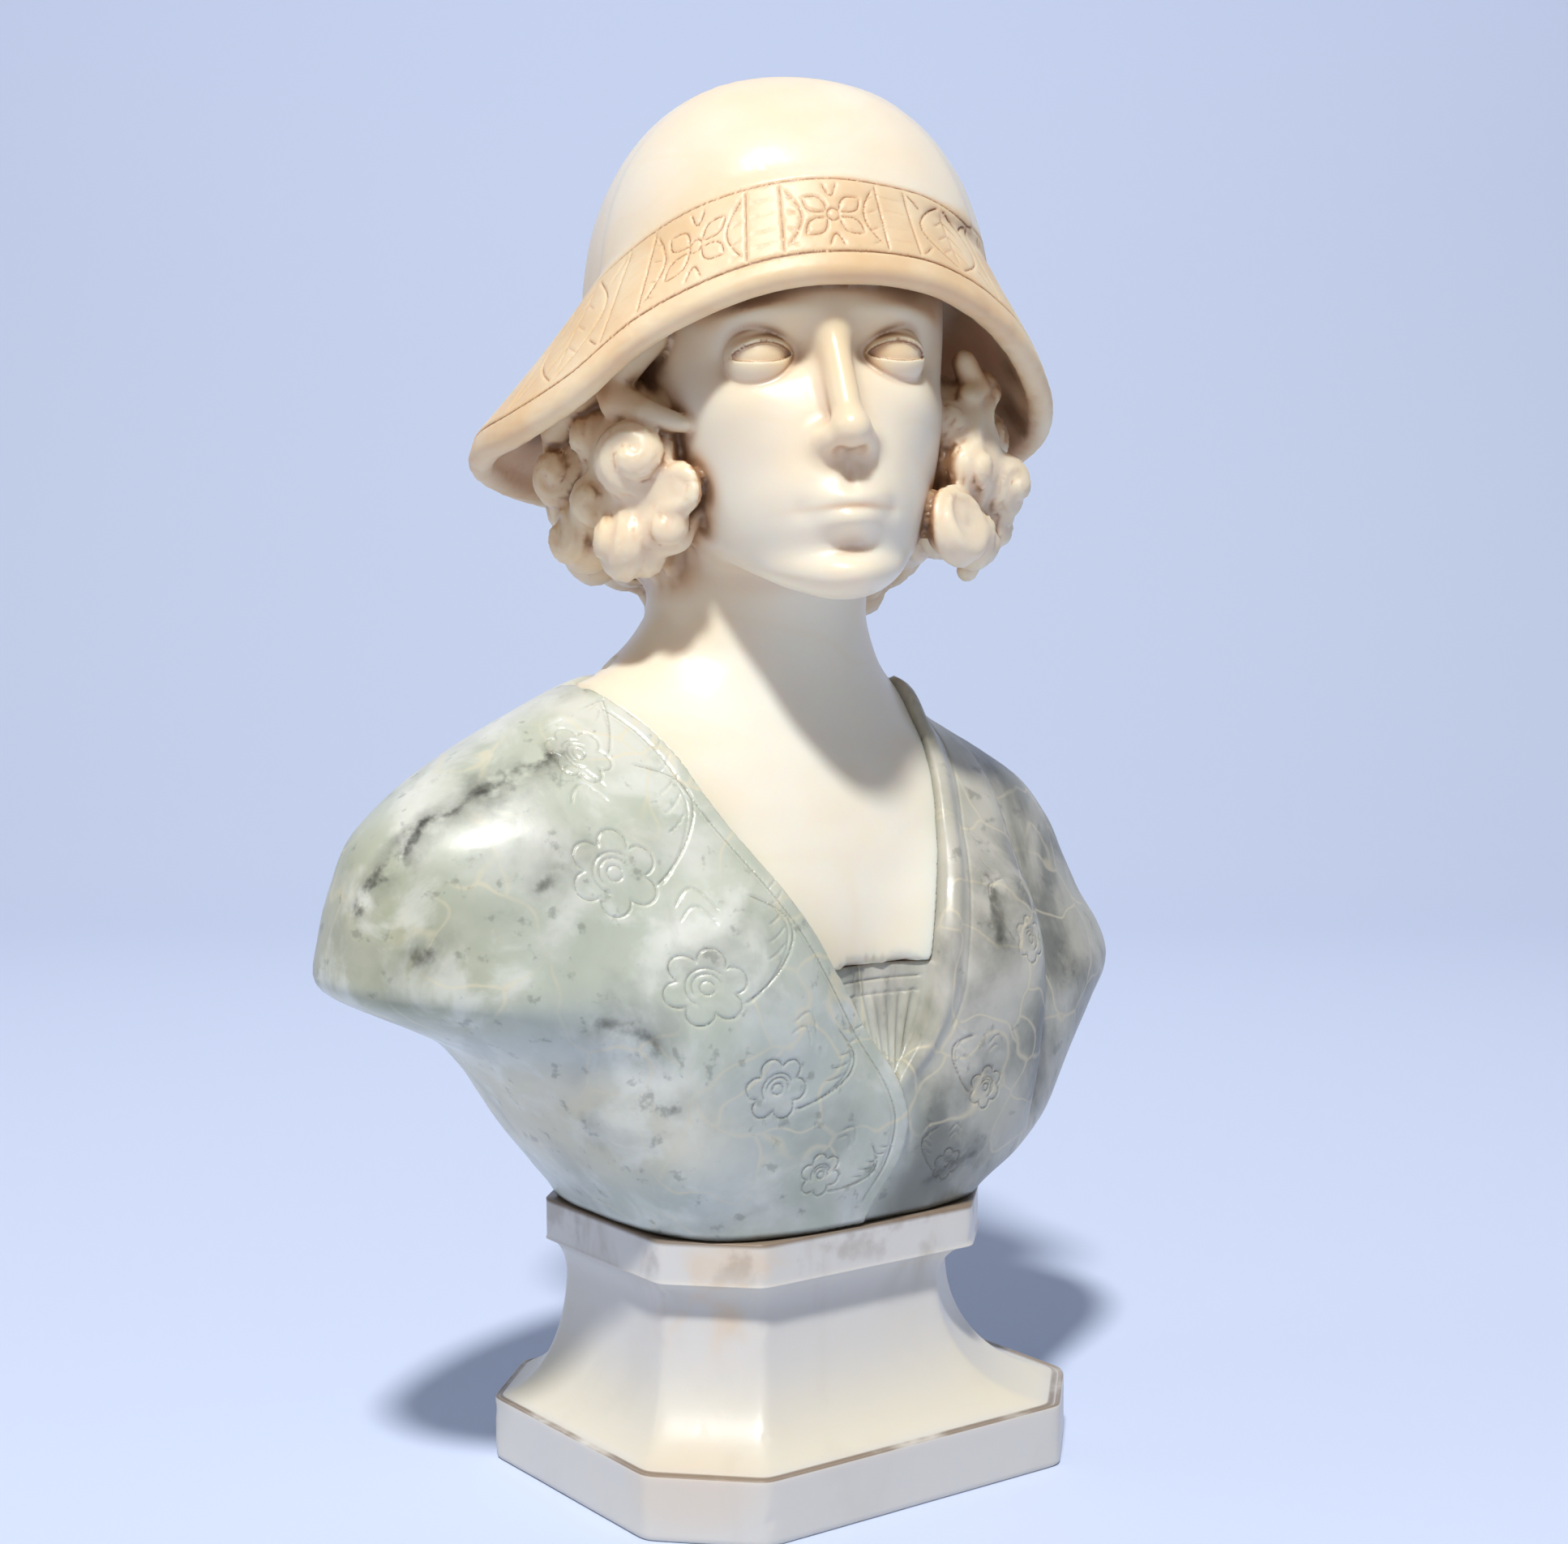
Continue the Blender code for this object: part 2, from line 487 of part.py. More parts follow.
def prism(name, outline, near, far):
    """A cutter: an outline in the XZ plane, in head heights, drawn from front to back."""
    form = bmesh.new()
    front = [form.verts.new((x, near, z)) for x, z in outline]
    back = [form.verts.new((x, far, z)) for x, z in outline]
    for i in range(len(outline)):
        j = (i + 1) % len(outline)
        form.faces.new((front[i], back[i], back[j], front[j]))
    form.faces.new(front)
    form.faces.new(back[::-1])
    bmesh.ops.recalc_face_normals(form, faces=form.faces)
    bmesh.ops.scale(form, vec=(HEAD_HEIGHT,) * 3, verts=form.verts)
    mesh = bpy.data.meshes.new(name)
    form.to_mesh(mesh)
    form.free()
    cutter = bpy.data.objects.new(name, mesh)
    bpy.context.collection.objects.link(cutter)
    cutter.location = (*TOP_SHIFT, PLINTH_HEIGHT)
    cutter.hide_render = True
    cutter.display_type = "WIRE"
    return cutter


def neckline(gap, widest):
    """The pocket's outline from the front: down the right lapel, along the floor and up the left."""
    heights = np.linspace(POCKET_FLOOR - gap, POCKET_TOP, 16)
    right = [(max(curve(z, RIGHT_LAPEL), -widest) - 1.15 * gap, z) for z in heights[::-1]]
    return right + [(min(curve(z, LEFT_LAPEL), widest) + gap, z) for z in heights]


def subtract(piece, cutter):
    cut = piece.modifiers.new(cutter.name, "BOOLEAN")
    cut.operation = "DIFFERENCE"
    cut.solver = "EXACT"
    cut.object = cutter


def main():
    for item in list(bpy.data.objects):
        bpy.data.objects.remove(item)
    plinth()
    torso = solid("torso", torso_piece, (-1.2, -0.75, -0.02), (1.2, 0.65, 1.26), TORSO_VOXEL,
                  TORSO_TRIANGLES, GREEN_GREY)
    gap = FIT_GAP / HEAD_HEIGHT
    subtract(torso, prism("pocket", neckline(gap, 1.0), -1.0, NECK_SIDE + gap))
    subtract(torso, prism("pocket back", neckline(gap, NECK_HOLE), 0.0, POCKET_BACK + gap))
    head = solid("head", head_piece, (-0.85, -0.85, 0.40), (0.85, 0.85, 2.62), HEAD_VOXEL, HEAD_TRIANGLES, CREAM)
    outside = [(1.3, POCKET_TOP), (1.3, 0.3), (-1.3, 0.3), (-1.3, POCKET_TOP)]
    subtract(head, prism("mould", neckline(0, 1.0) + outside, -1.0, 1.0))
    subtract(head, prism("mould back", neckline(0, NECK_HOLE) + outside, NECK_SIDE, 1.1))
    subtract(head, prism("mould wall", outside, POCKET_BACK, 1.2))


if __name__ == "__main__":
    main()
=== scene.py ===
"""Dresses the carved alabaster bust: the capped head, the draped torso and the plinth.

Each stone is given as a smooth form, about its distance in units of the figure's head height, meshed
finely, then engraved; its cuts are stained, and its hollows carry painted shade. The figure's chest
faces -Y, its right side is at -X, and the camera stands to the front, on the figure's right.
"""

import logging
import math
from collections.abc import Callable, Sequence
from dataclasses import dataclass, field
from enum import Enum
from functools import reduce

import bmesh
import bpy
import numpy as np
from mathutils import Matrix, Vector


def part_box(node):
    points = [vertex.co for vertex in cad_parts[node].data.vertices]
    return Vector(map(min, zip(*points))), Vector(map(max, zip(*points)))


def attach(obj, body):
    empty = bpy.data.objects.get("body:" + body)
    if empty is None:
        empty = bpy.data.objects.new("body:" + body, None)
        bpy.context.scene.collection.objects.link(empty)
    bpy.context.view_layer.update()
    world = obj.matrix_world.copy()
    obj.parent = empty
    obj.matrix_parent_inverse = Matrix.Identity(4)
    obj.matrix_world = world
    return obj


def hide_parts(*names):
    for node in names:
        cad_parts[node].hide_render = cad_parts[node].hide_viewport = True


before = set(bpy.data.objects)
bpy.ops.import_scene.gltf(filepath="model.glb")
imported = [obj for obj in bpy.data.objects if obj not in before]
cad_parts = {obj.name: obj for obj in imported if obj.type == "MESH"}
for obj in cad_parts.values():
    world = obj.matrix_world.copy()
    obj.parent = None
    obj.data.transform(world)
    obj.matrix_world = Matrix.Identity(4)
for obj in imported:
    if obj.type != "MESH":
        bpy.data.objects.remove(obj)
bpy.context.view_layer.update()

import openvdb
from mathutils import Matrix, Vector, kdtree

log = logging.getLogger("bust")

Array = np.ndarray
Field = Callable[[Array], Array]
Spot = tuple[float, float]
Knots = tuple[Spot, ...]
Place = tuple[float, float, float]
Colour = tuple[float, float, float, float]

HEAD_HEIGHT = 0.150
BODY = "root"
TINY = 1e-6


def smooth_union(a: Array, b: Array, blend: float) -> Array:
    """Joins two forms with a fillet.

    Args:
        a: distances to the first form.
        b: distances to the second form.
        blend: width of the fillet.

    Returns:
        The joined form's distances.
    """
    share = np.clip(0.5 + 0.5 * (b - a) / blend, 0, 1)
    return b + (a - b) * share - blend * share * (1 - share)


def smooth_both(a: Array, b: Array, blend: float) -> Array:
    """Keeps what is inside both forms, with a rounded edge.

    Args:
        a: distances to the first form.
        b: distances to the second form.
        blend: width of the rounding.

    Returns:
        The common form's distances.
    """
    return -smooth_union(-a, -b, blend)


def step(value: Array, low: float, high: float) -> Array:
    """Rises smoothly from 0 at low to 1 at high."""
    share = np.clip((value - low) / (high - low), 0, 1)
    return share * share * (3 - 2 * share)


def bump(u: Array, v: Array, centre: Spot, spread: Spot) -> Array:
    """A soft round hill of height 1 in the plane of u and v."""
    return np.exp(-(((u - centre[0]) / spread[0]) ** 2) - ((v - centre[1]) / spread[1]) ** 2)


def curve(at: Array | float, knots: Knots) -> Array:
    """Reads a smooth curve.

    Args:
        at: where to read it.
        knots: (place, value) pairs, in order of place.

    Returns:
        The curve's values.
    """
    x, y = np.array(knots, float).T
    slope = np.gradient(y, x)
    rise = np.diff(y) / np.diff(x)
    slope[1:-1] = np.where(rise[:-1] * rise[1:] <= 0, 0, slope[1:-1])
    at = np.clip(at, x[0], x[-1])
    i = np.clip(np.searchsorted(x, at, side="right") - 1, 0, len(x) - 2)
    width = x[i + 1] - x[i]
    t = (at - x[i]) / width
    start = y[i] * (1 + 2 * t) * (1 - t) ** 2 + width * slope[i] * t * (1 - t) ** 2
    return start + y[i + 1] * t * t * (3 - 2 * t) - width * slope[i + 1] * t * t * (1 - t)


def section(x: Array, y: Array, half_width: Array, half_depth: Array, power: Array | float) -> Array:
    """An upright form whose cut at each height is a superellipse.

    Args:
        x: places across.
        y: places from front to back.
        half_width: half the cut's width at each point's height.
        half_depth: half the cut's depth there.
        power: the cut's power, 2 for an ellipse and more for a boxier one.

    Returns:
        About the distance to the form.
    """
    u, v = np.abs(x) / half_width, np.abs(y) / half_depth
    ratio = np.maximum((u**power + v**power) ** (1 / power), TINY)
    steepness = np.hypot(u ** (power - 1) / half_width, v ** (power - 1) / half_depth)
    return (ratio - 1) * ratio ** (power - 1) / np.maximum(steepness, TINY)


def rounded(p: Array, centre: Sequence[float], radii: Sequence[float], power: float = 2.0) -> Array:
    """An ellipsoid, or a fuller one with a power over 2.

    Args:
        p: points, one a row.
        centre: its middle.
        radii: its three half sizes.
        power: how full its shoulders are.

    Returns:
        About the distance to it.
    """
    q = np.abs(p - np.array(centre)) / np.array(radii)
    size = np.maximum((q**power).sum(1) ** (1 / power), TINY)
    steepness = np.linalg.norm(q ** (power - 1) / np.array(radii), axis=1)
    return (size - 1) * size ** (power - 1) / np.maximum(steepness, TINY)


def taper(p: Array, start: Sequence[float], end: Sequence[float], first: float, last: float) -> Array:
    """A round bar between two points, with its own radius at each end.

    Args:
        p: points, one a row.
        start: one end.
        end: the other end.
        first: radius at the start.
        last: radius at the end.

    Returns:
        The distance to it.
    """
    start, end = np.array(start, float), np.array(end, float)
    along = end - start
    t = np.clip((p - start) @ along / (along @ along), 0, 1)
    reach = np.linalg.norm(p - start - t[:, None] * along, axis=1)
    return reach - (first + t * (last - first))


def mirrored(p: Array) -> Array:
    """The points with their left half folded onto the right."""
    q = p.copy()
    q[:, 0] = np.abs(q[:, 0])
    return q


def slope_of(form: Field, points: Array, reach: float) -> Array:
    """The form's slope at each point, by differences.

    Args:
        form: the form.
        points: where to take it.
        reach: half the difference's length.

    Returns:
        One vector a point.
    """
    rises = [form(points + axis) - form(points - axis) for axis in reach * np.eye(3)]
    return np.stack(rises, 1) / (2 * reach)


def settle(form: Field, points: Array, limit: float, rounds: int = 2) -> Array:
    """Moves points down the form's slope onto its surface.

    Args:
        form: the form.
        points: the points.
        limit: the farthest that one round moves a point.
        rounds: how many rounds.

    Returns:
        The moved points.
    """
    for _ in range(rounds):
        slope = slope_of(form, points, 0.0008)
        move = form(points)[:, None] * slope / np.maximum((slope**2).sum(1), 0.3)[:, None]
        size = np.linalg.norm(move, axis=1)
        points = points - move * np.minimum(1, limit / np.maximum(size, 1e-9))[:, None]
    return points


def sample(form: Field, low: Array, count: Array, pitch: float) -> Array:
    """Reads a form on a grid, finely only near its surface.

    Args:
        form: the form.
        low: the grid's lowest corner.
        count: points along each axis.
        pitch: their spacing.

    Returns:
        The values, as a block of the grid's shape.
    """
    coarse = 4
    blocks = -(-count // coarse)
    places = np.stack(np.meshgrid(*[np.arange(n) for n in blocks], indexing="ij"), -1).reshape(-1, 3)
    centre = low + (places + 0.5 * (coarse - 1) / coarse) * coarse * pitch
    rough = form(centre)
    values = np.repeat(np.repeat(np.repeat(rough.reshape(blocks), coarse, 0), coarse, 1), coarse, 2)
    near = places[np.abs(rough) < 1.6 * coarse * pitch] * coarse
    offsets = np.stack(np.meshgrid(*[np.arange(coarse)] * 3, indexing="ij"), -1).reshape(-1, 3)
    for part in np.array_split(near, max(1, len(near) // 2500)):
        at = (part[:, None] + offsets).reshape(-1, 3)
        values[at[:, 0], at[:, 1], at[:, 2]] = form(low + at * pitch)
    return values[: count[0], : count[1], : count[2]]


def skin_of(form: Field, low: Sequence[float], high: Sequence[float], pitch: float) -> tuple[Array, Array]:
    """Meshes a form evenly.

    Args:
        form: the form.
        low: lowest corner of a box that holds it.
        high: the box's highest corner.
        pitch: about the length of an edge.

    Returns:
        The points and the triangles.
    """
    low, high = np.array(low, float), np.array(high, float)
    count = np.ceil((high - low) / pitch).astype(int) + 1
    volume = openvdb.FloatGrid(1.0)
    volume.copyFromArray(sample(form, low, count, pitch).astype(np.float32))
    points, _, fours = volume.convertToPolygons(isovalue=0.0, adaptivity=0.0)
    fours = np.array(fours, int)[:, ::-1]
    faces = np.concatenate([fours[:, :3], fours[:, [0, 2, 3]]])
    points, faces = outer_shell(low + np.array(points, float) * pitch, faces)
    return settle(form, points, 0.5 * pitch), faces


def outer_shell(points: Array, faces: Array) -> tuple[Array, Array]:
    """Keeps what is linked to the highest point, so that no sealed hollow is left inside.

    Args:
        points: the mesh's points.
        faces: its triangles.

    Returns:
        The points and triangles of the outside.
    """
    label = np.arange(len(points))
    while True:
        linked = label.copy()
        np.minimum.at(linked, faces.ravel(), np.repeat(label[faces].min(1), 3))
        linked = linked[linked]
        if (linked == label).all():
            break
        label = linked
    faces = faces[label[faces[:, 0]] == label[np.argmax(points[:, 2])]]
    used = np.unique(faces)
    return points[used], np.searchsorted(used, faces)


def refine(form: Field, points: Array, faces: Array, wanted: Field, rounds: int) -> tuple[Array, Array]:
    """Splits long edges, so that the mesh is as fine as wanted everywhere.

    Args:
        form: the form that new points settle on.
        points: the mesh's points.
        faces: its triangles.
        wanted: the edge length wanted at given points.
        rounds: the most times that an edge is halved.

    Returns:
        The new points and triangles.
    """
    for _ in range(rounds):
        sides = np.sort(faces[:, [[0, 1], [1, 2], [2, 0]]].reshape(-1, 2), axis=1)
        edges, side_edge = np.unique(sides, axis=0, return_inverse=True)
        side_edge = side_edge.reshape(-1, 3)
        middle = points[edges].mean(1)
        length = np.linalg.norm(points[edges[:, 0]] - points[edges[:, 1]], axis=1)
        long = length > 1.35 * wanted(middle)
        if not long.any():
            break
        new = np.full(len(edges), -1)
        new[long] = len(points) + np.arange(long.sum())
        points = np.concatenate([points, settle(form, middle[long], 0.01)])
        mid = new[side_edge]
        marks = (mid >= 0).sum(1)
        turn = np.zeros(len(faces), int)
        turn[marks == 1] = np.argmax(mid[marks == 1] >= 0, axis=1)
        turn[marks == 2] = (np.argmax(mid[marks == 2] < 0, axis=1) + 1) % 3
        order = (turn[:, None] + np.arange(3)) % 3
        a, b, c = np.take_along_axis(faces, order, 1).T
        ab, bc, ca = np.take_along_axis(mid, order, 1).T
        one, two, three = marks == 1, marks == 2, marks == 3
        parts = [faces[marks == 0]]
        parts += [np.stack(t, 1)[one] for t in ((a, ab, c), (ab, b, c))]
        parts += [np.stack(t, 1)[two] for t in ((ab, b, bc), (a, ab, bc), (a, bc, c))]
        parts += [np.stack(t, 1)[three] for t in ((a, ab, ca), (ab, b, bc), (ca, bc, c), (ab, bc, ca))]
        faces = np.concatenate(parts)
    return points, faces


def relax(form: Field, points: Array, faces: Array, rounds: int) -> Array:
    """Evens the mesh out along its surface.

    Args:
        form: the form that the points stay on.
        points: the mesh's points.
        faces: its triangles.
        rounds: how many times.

    Returns:
        The moved points.
    """
    ends = faces[:, [0, 1, 2, 1, 2, 0]].reshape(-1)
    others = faces[:, [1, 2, 0, 0, 1, 2]].reshape(-1)
    count = np.bincount(ends, minlength=len(points)).astype(float)
    for _ in range(rounds):
        total = np.stack([np.bincount(ends, points[others, i], len(points)) for i in range(3)], 1)
        points = settle(form, points + 0.5 * (total / count[:, None] - points), 0.01, 1)
    return points


def shelter(form: Field, points: Array, normals: Array, reaches: Sequence[float]) -> Array:
    """How enclosed each point is: 0 in the open, towards 1 deep in a hollow.

    Args:
        form: the form.
        points: points on its surface.
        normals: the surface's outward directions there.
        reaches: distances at which to feel for other walls.

    Returns:
        One value a point.
    """
    total = sum((reach - form(points + normals * reach)) / reach for reach in reaches)
    return np.clip(total / len(reaches), 0, 1)


@dataclass
class Strokes:
    """Chisel lines, kept as closely spaced points."""

    points: list[Array] = field(default_factory=list)
    widths: list[Array] = field(default_factory=list)
    depths: list[Array] = field(default_factory=list)
    spacing: float = 0.0016
    fade: float = 0.012
    end_depth: float = 0.35

    def add(self, line: Array, width: float, depth: float) -> None:
        """Adds a line that is shallower at its ends.

        Args:
            line: its points, in order.
            width: half its width.
            depth: how deep it is cut, or less than 0 where it stands up.
        """
        run = np.concatenate([[0], np.cumsum(np.linalg.norm(np.diff(line, axis=0), axis=1))])
        count = max(2, int(run[-1] / self.spacing))
        at = np.linspace(0, run[-1], count)
        self.points.append(np.stack([np.interp(at, run, line[:, i]) for i in range(3)], 1))
        self.widths.append(np.full(count, width))
        self.depths.append(depth * np.clip(np.minimum(at, run[-1] - at) / self.fade + self.end_depth, 0, 1))


class Engraving:
    """Strokes laid on a form's surface, ready to be searched."""

    reach = 0.03

    def __init__(self, strokes: Strokes, form: Field) -> None:
        """Lays the strokes on the form.

        Args:
            strokes: lines close to the surface.
            form: the form that they are cut into.
        """
        self.places = settle(form, np.concatenate(strokes.points), 0.03, 5)
        self.widths, self.depths = np.concatenate(strokes.widths), np.concatenate(strokes.depths)
        self.tree = kdtree.KDTree(len(self.places))
        for i, place in enumerate(self.places):
            self.tree.insert(place, i)
        self.tree.balance()

    def nearest(self, points: Array) -> tuple[Array, Array]:
        """Finds the closest stroke.

        Args:
            points: where to look from.

        Returns:
            For each point its distance and the index of the closest stroke point, -1 if none is near.
        """
        low, high = self.places.min(0) - self.reach, self.places.max(0) + self.reach
        distance, index = np.full(len(points), self.reach), np.full(len(points), -1)
        for i in np.flatnonzero(((points > low) & (points < high)).all(1)):
            _, found, far = self.tree.find(points[i])
            if far < self.reach:
                distance[i], index[i] = far, found
        return distance, index

    def fineness(self, points: Array, finest: float, level: float, growth: float) -> Array:
        """The edge length that the strokes want at each point.

        Args:
            points: where it is wanted.
            finest: the length in a stroke.
            level: how far from a stroke it starts to grow.
            growth: how fast it grows from there.

        Returns:
            One length a point, 1 where no stroke is near.
        """
        distance, _ = self.nearest(points)
        return np.where(distance < self.reach, finest + growth * np.maximum(distance - level, 0), 1)

    def depth(self, points: Array) -> Array:
        """How deep the strokes cut at each point."""
        distance, index = self.nearest(points)
        return np.where(index < 0, 0, self.depths[index] * np.exp(-((distance / self.widths[index]) ** 2)))


@dataclass
class Carving:
    """A stone to be meshed: its box, the fineness of its mesh and what counts as a hollow."""

    name: str = "stone"
    low: Place = (-1.0, -1.0, 0.0)
    high: Place = (1.0, 1.0, 1.0)
    pitch: float = 0.02
    rounds: int = 3
    fine_stroke: float = 0.0040
    hollows: tuple[float, ...] = (0.02, 0.05, 0.10)
    stained_depth: float = 0.005
    cuts: "Engraving | None" = field(default=None, init=False)

    def form(self, p: Array) -> Array:
        """About the distance to the stone at each point."""
        raise NotImplementedError

    def wanted(self, p: Array) -> Array:
        """The edge length wanted at each point."""
        raise NotImplementedError

    def strokes(self) -> Strokes:
        """The chisel lines on the stone."""
        raise NotImplementedError

    def zone(self, p: Array) -> Array:
        """A mark from 0 to 1 that its finish reads."""
        raise NotImplementedError

    def rough(self, p: Array) -> Array:
        """Small unevenness of the hand-cut surface."""
        wave = np.sin(p @ np.array([23.0, 31.0, 17.0])) * np.sin(p @ np.array([-19.0, 13.0, 29.0]))
        return 0.0008 * wave

    def build(self, stone: bpy.types.Material) -> bpy.types.Object:
        """Meshes, engraves and places the stone.

        Args:
            stone: its material, which reads the point attributes recess and zone.

        Returns:
            The new object.
        """
        pitch, rounds = ((self.pitch, self.rounds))
        points, faces = skin_of(self.form, self.low, self.high, pitch)
        self.cuts = Engraving(self.strokes(), self.form)
        points, faces = refine(self.form, points, faces, self.wanted, rounds)
        points = relax(self.form, points, faces, 2)
        normals = slope_of(self.form, points, 0.002)
        normals /= np.maximum(np.linalg.norm(normals, axis=1), TINY)[:, None]
        depth = self.cuts.depth(points)
        # The first mark is painted shade in the hollows, from how enclosed each point is, plus staining in
        # the chisel cuts.
        hollow_shade_and_cut_dirt = shelter(self.form, points, normals, self.hollows) + np.maximum(depth, 0) / self.stained_depth
        zone = self.zone(points)
        points = points + normals * (self.rough(points) - depth)[:, None]
        piece = place(self.name, points, faces)
        for title, values in (("hollow_shade_and_cut_dirt", np.clip(hollow_shade_and_cut_dirt, 0, 1)), ("zone", zone)):
            layer = piece.data.attributes.new(title, "FLOAT", "POINT")
            layer.data.foreach_set("value", values.astype(np.float32))
        piece.data.materials.append(stone)
        log.info("%s: %d points, %d triangles", self.name, len(points), len(faces))
        return piece


def place(name: str, points: Array, faces: Array) -> bpy.types.Object:
    """Puts a figure's mesh on the plinth, in metres.

    Args:
        name: the CAD node that the piece stands for.
        points: its points, in head heights.
        faces: its triangles.

    Returns:
        The new object.
    """
    shift_x, shift_y = Plinth.top_shift
    world = points * HEAD_HEIGHT + np.array([shift_x, shift_y, Plinth.height])
    low, high = (np.array(corner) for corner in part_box(name))
    world = np.clip(world, low, high)
    mesh = bpy.data.meshes.new(name + "_carved")
    mesh.vertices.add(len(world))
    mesh.vertices.foreach_set("co", world.astype(np.float32).ravel())
    mesh.loops.add(faces.size)
    mesh.loops.foreach_set("vertex_index", faces.astype(np.int32).ravel())
    mesh.polygons.add(len(faces))
    mesh.polygons.foreach_set("loop_start", np.arange(0, faces.size, 3, dtype=np.int32))
    mesh.update(calc_edges=True)
    mesh.validate()
    mesh.shade_smooth()
    piece = bpy.data.objects.new(name + "_carved", mesh)
    bpy.context.scene.collection.objects.link(piece)
    return piece


RIGHT_LAPEL: Knots = (
    (-0.05, -0.03), (0.07, 0.0), (0.15, 0.035), (0.225, 0.045), (0.31, 0.02), (0.45, -0.07), (0.587, -0.155),
    (0.755, -0.25), (0.905, -0.335), (1.07, -0.405), (1.13, -0.45), (1.3, -0.50),
)
LEFT_LAPEL: Knots = (
    (-0.05, -0.06), (0.31, 0.015), (0.41, 0.085), (0.5, 0.12), (0.575, 0.135), (0.70, 0.175), (0.795, 0.22),
    (0.96, 0.285), (1.08, 0.325), (1.13, 0.34), (1.3, 0.38),
)
POCKET_FLOOR = 0.565
POCKET_BACK = 0.34
POCKET_TOP = 1.22
NECK_HOLE = 0.31
NECK_SIDE = 0.10
FIT_GAP = 0.0027


def opening(x: Array, z: Array, widest: float = 1.0) -> Array:
    """How far a point is inside the neckline, seen from the front.

    Args:
        x: places across.
        z: heights.
        widest: the most that the neckline is open to either side.

    Returns:
        The depth inside, less than 0 outside.
    """
    right = np.maximum(curve(z, RIGHT_LAPEL), -widest)
    left = np.minimum(curve(z, LEFT_LAPEL), widest)
    return np.minimum((x - right) / 1.15, left - x)


def pocket(p: Array) -> Array:
    """The hollow in the torso that takes the neck and chest."""
    x, y, z = p.T
    front = np.maximum(-opening(x, z), y - NECK_SIDE)
    back = np.maximum(-opening(x, z, NECK_HOLE), y - POCKET_BACK)
    return np.maximum(np.minimum(front, back), POCKET_FLOOR - z)


@dataclass
class Figure(Carving):
    """The forms that the torso and the chest share."""

    right_widths: Knots = (
        (-0.05, 0.43), (0, 0.44), (0.09, 0.51), (0.18, 0.59), (0.266, 0.655), (0.34, 0.71), (0.40, 0.77),
        (0.48, 0.93), (0.53, 1.03), (0.575, 1.055), (0.64, 1.045), (0.745, 1.02), (0.86, 0.965),
        (0.93, 0.885), (0.99, 0.80), (1.06, 0.67), (1.133, 0.52), (1.2, 0.36), (1.3, 0.18),
    )
    left_widths: Knots = (
        (-0.05, 0.43), (0, 0.45), (0.09, 0.60), (0.15, 0.68), (0.30, 0.82), (0.40, 0.92), (0.45, 0.975),
        (0.50, 1.0), (0.56, 0.985), (0.64, 0.93), (0.72, 0.89), (0.833, 0.83), (0.93, 0.73),
        (1.0, 0.60), (1.07, 0.46), (1.14, 0.38), (1.2, 0.30), (1.3, 0.18),
    )
    fronts: Knots = (
        (-0.05, 0.38), (0, 0.39), (0.15, 0.455), (0.33, 0.49), (0.5, 0.485), (0.7, 0.455), (0.85, 0.40),
        (1.0, 0.31), (1.1, 0.23), (1.2, 0.15), (1.3, 0.08),
    )
    backs: Knots = (
        (-0.05, 0.36), (0, 0.37), (0.15, 0.42), (0.35, 0.45), (0.6, 0.45), (0.8, 0.44), (0.95, 0.39),
        (1.1, 0.30), (1.2, 0.22), (1.3, 0.12),
    )
    middles: Knots = ((0, 0.0), (0.3, 0.02), (0.6, 0.06), (0.9, 0.05), (1.3, 0.05))
    powers: Knots = ((0, 3.4), (0.2, 2.7), (0.5, 2.2), (1.3, 2.1))

    def body(self, p: Array) -> Array:
        """The bust with its neck, as if it were one stone."""
        x, y, z = p.T
        y = y - curve(z, self.middles)
        width = np.where(x < 0, curve(z, self.right_widths), curve(z, self.left_widths))
        depth = np.where(y < 0, curve(z, self.fronts), curve(z, self.backs))
        torso = section(x, y, width, depth, curve(z, self.powers))
        torso = smooth_both(torso, z - 1.28, 0.05)
        for side in (-1, 1):
            breast = rounded(p, (side * 0.29, -0.26, 0.52), (0.25, 0.22, 0.26))
            torso = smooth_union(torso, breast, 0.12)
        neck = taper(p, (0, 0.08, 0.80), (0.01, 0.0, 1.62), 0.262, 0.245)
        return smooth_union(torso, neck, 0.22)


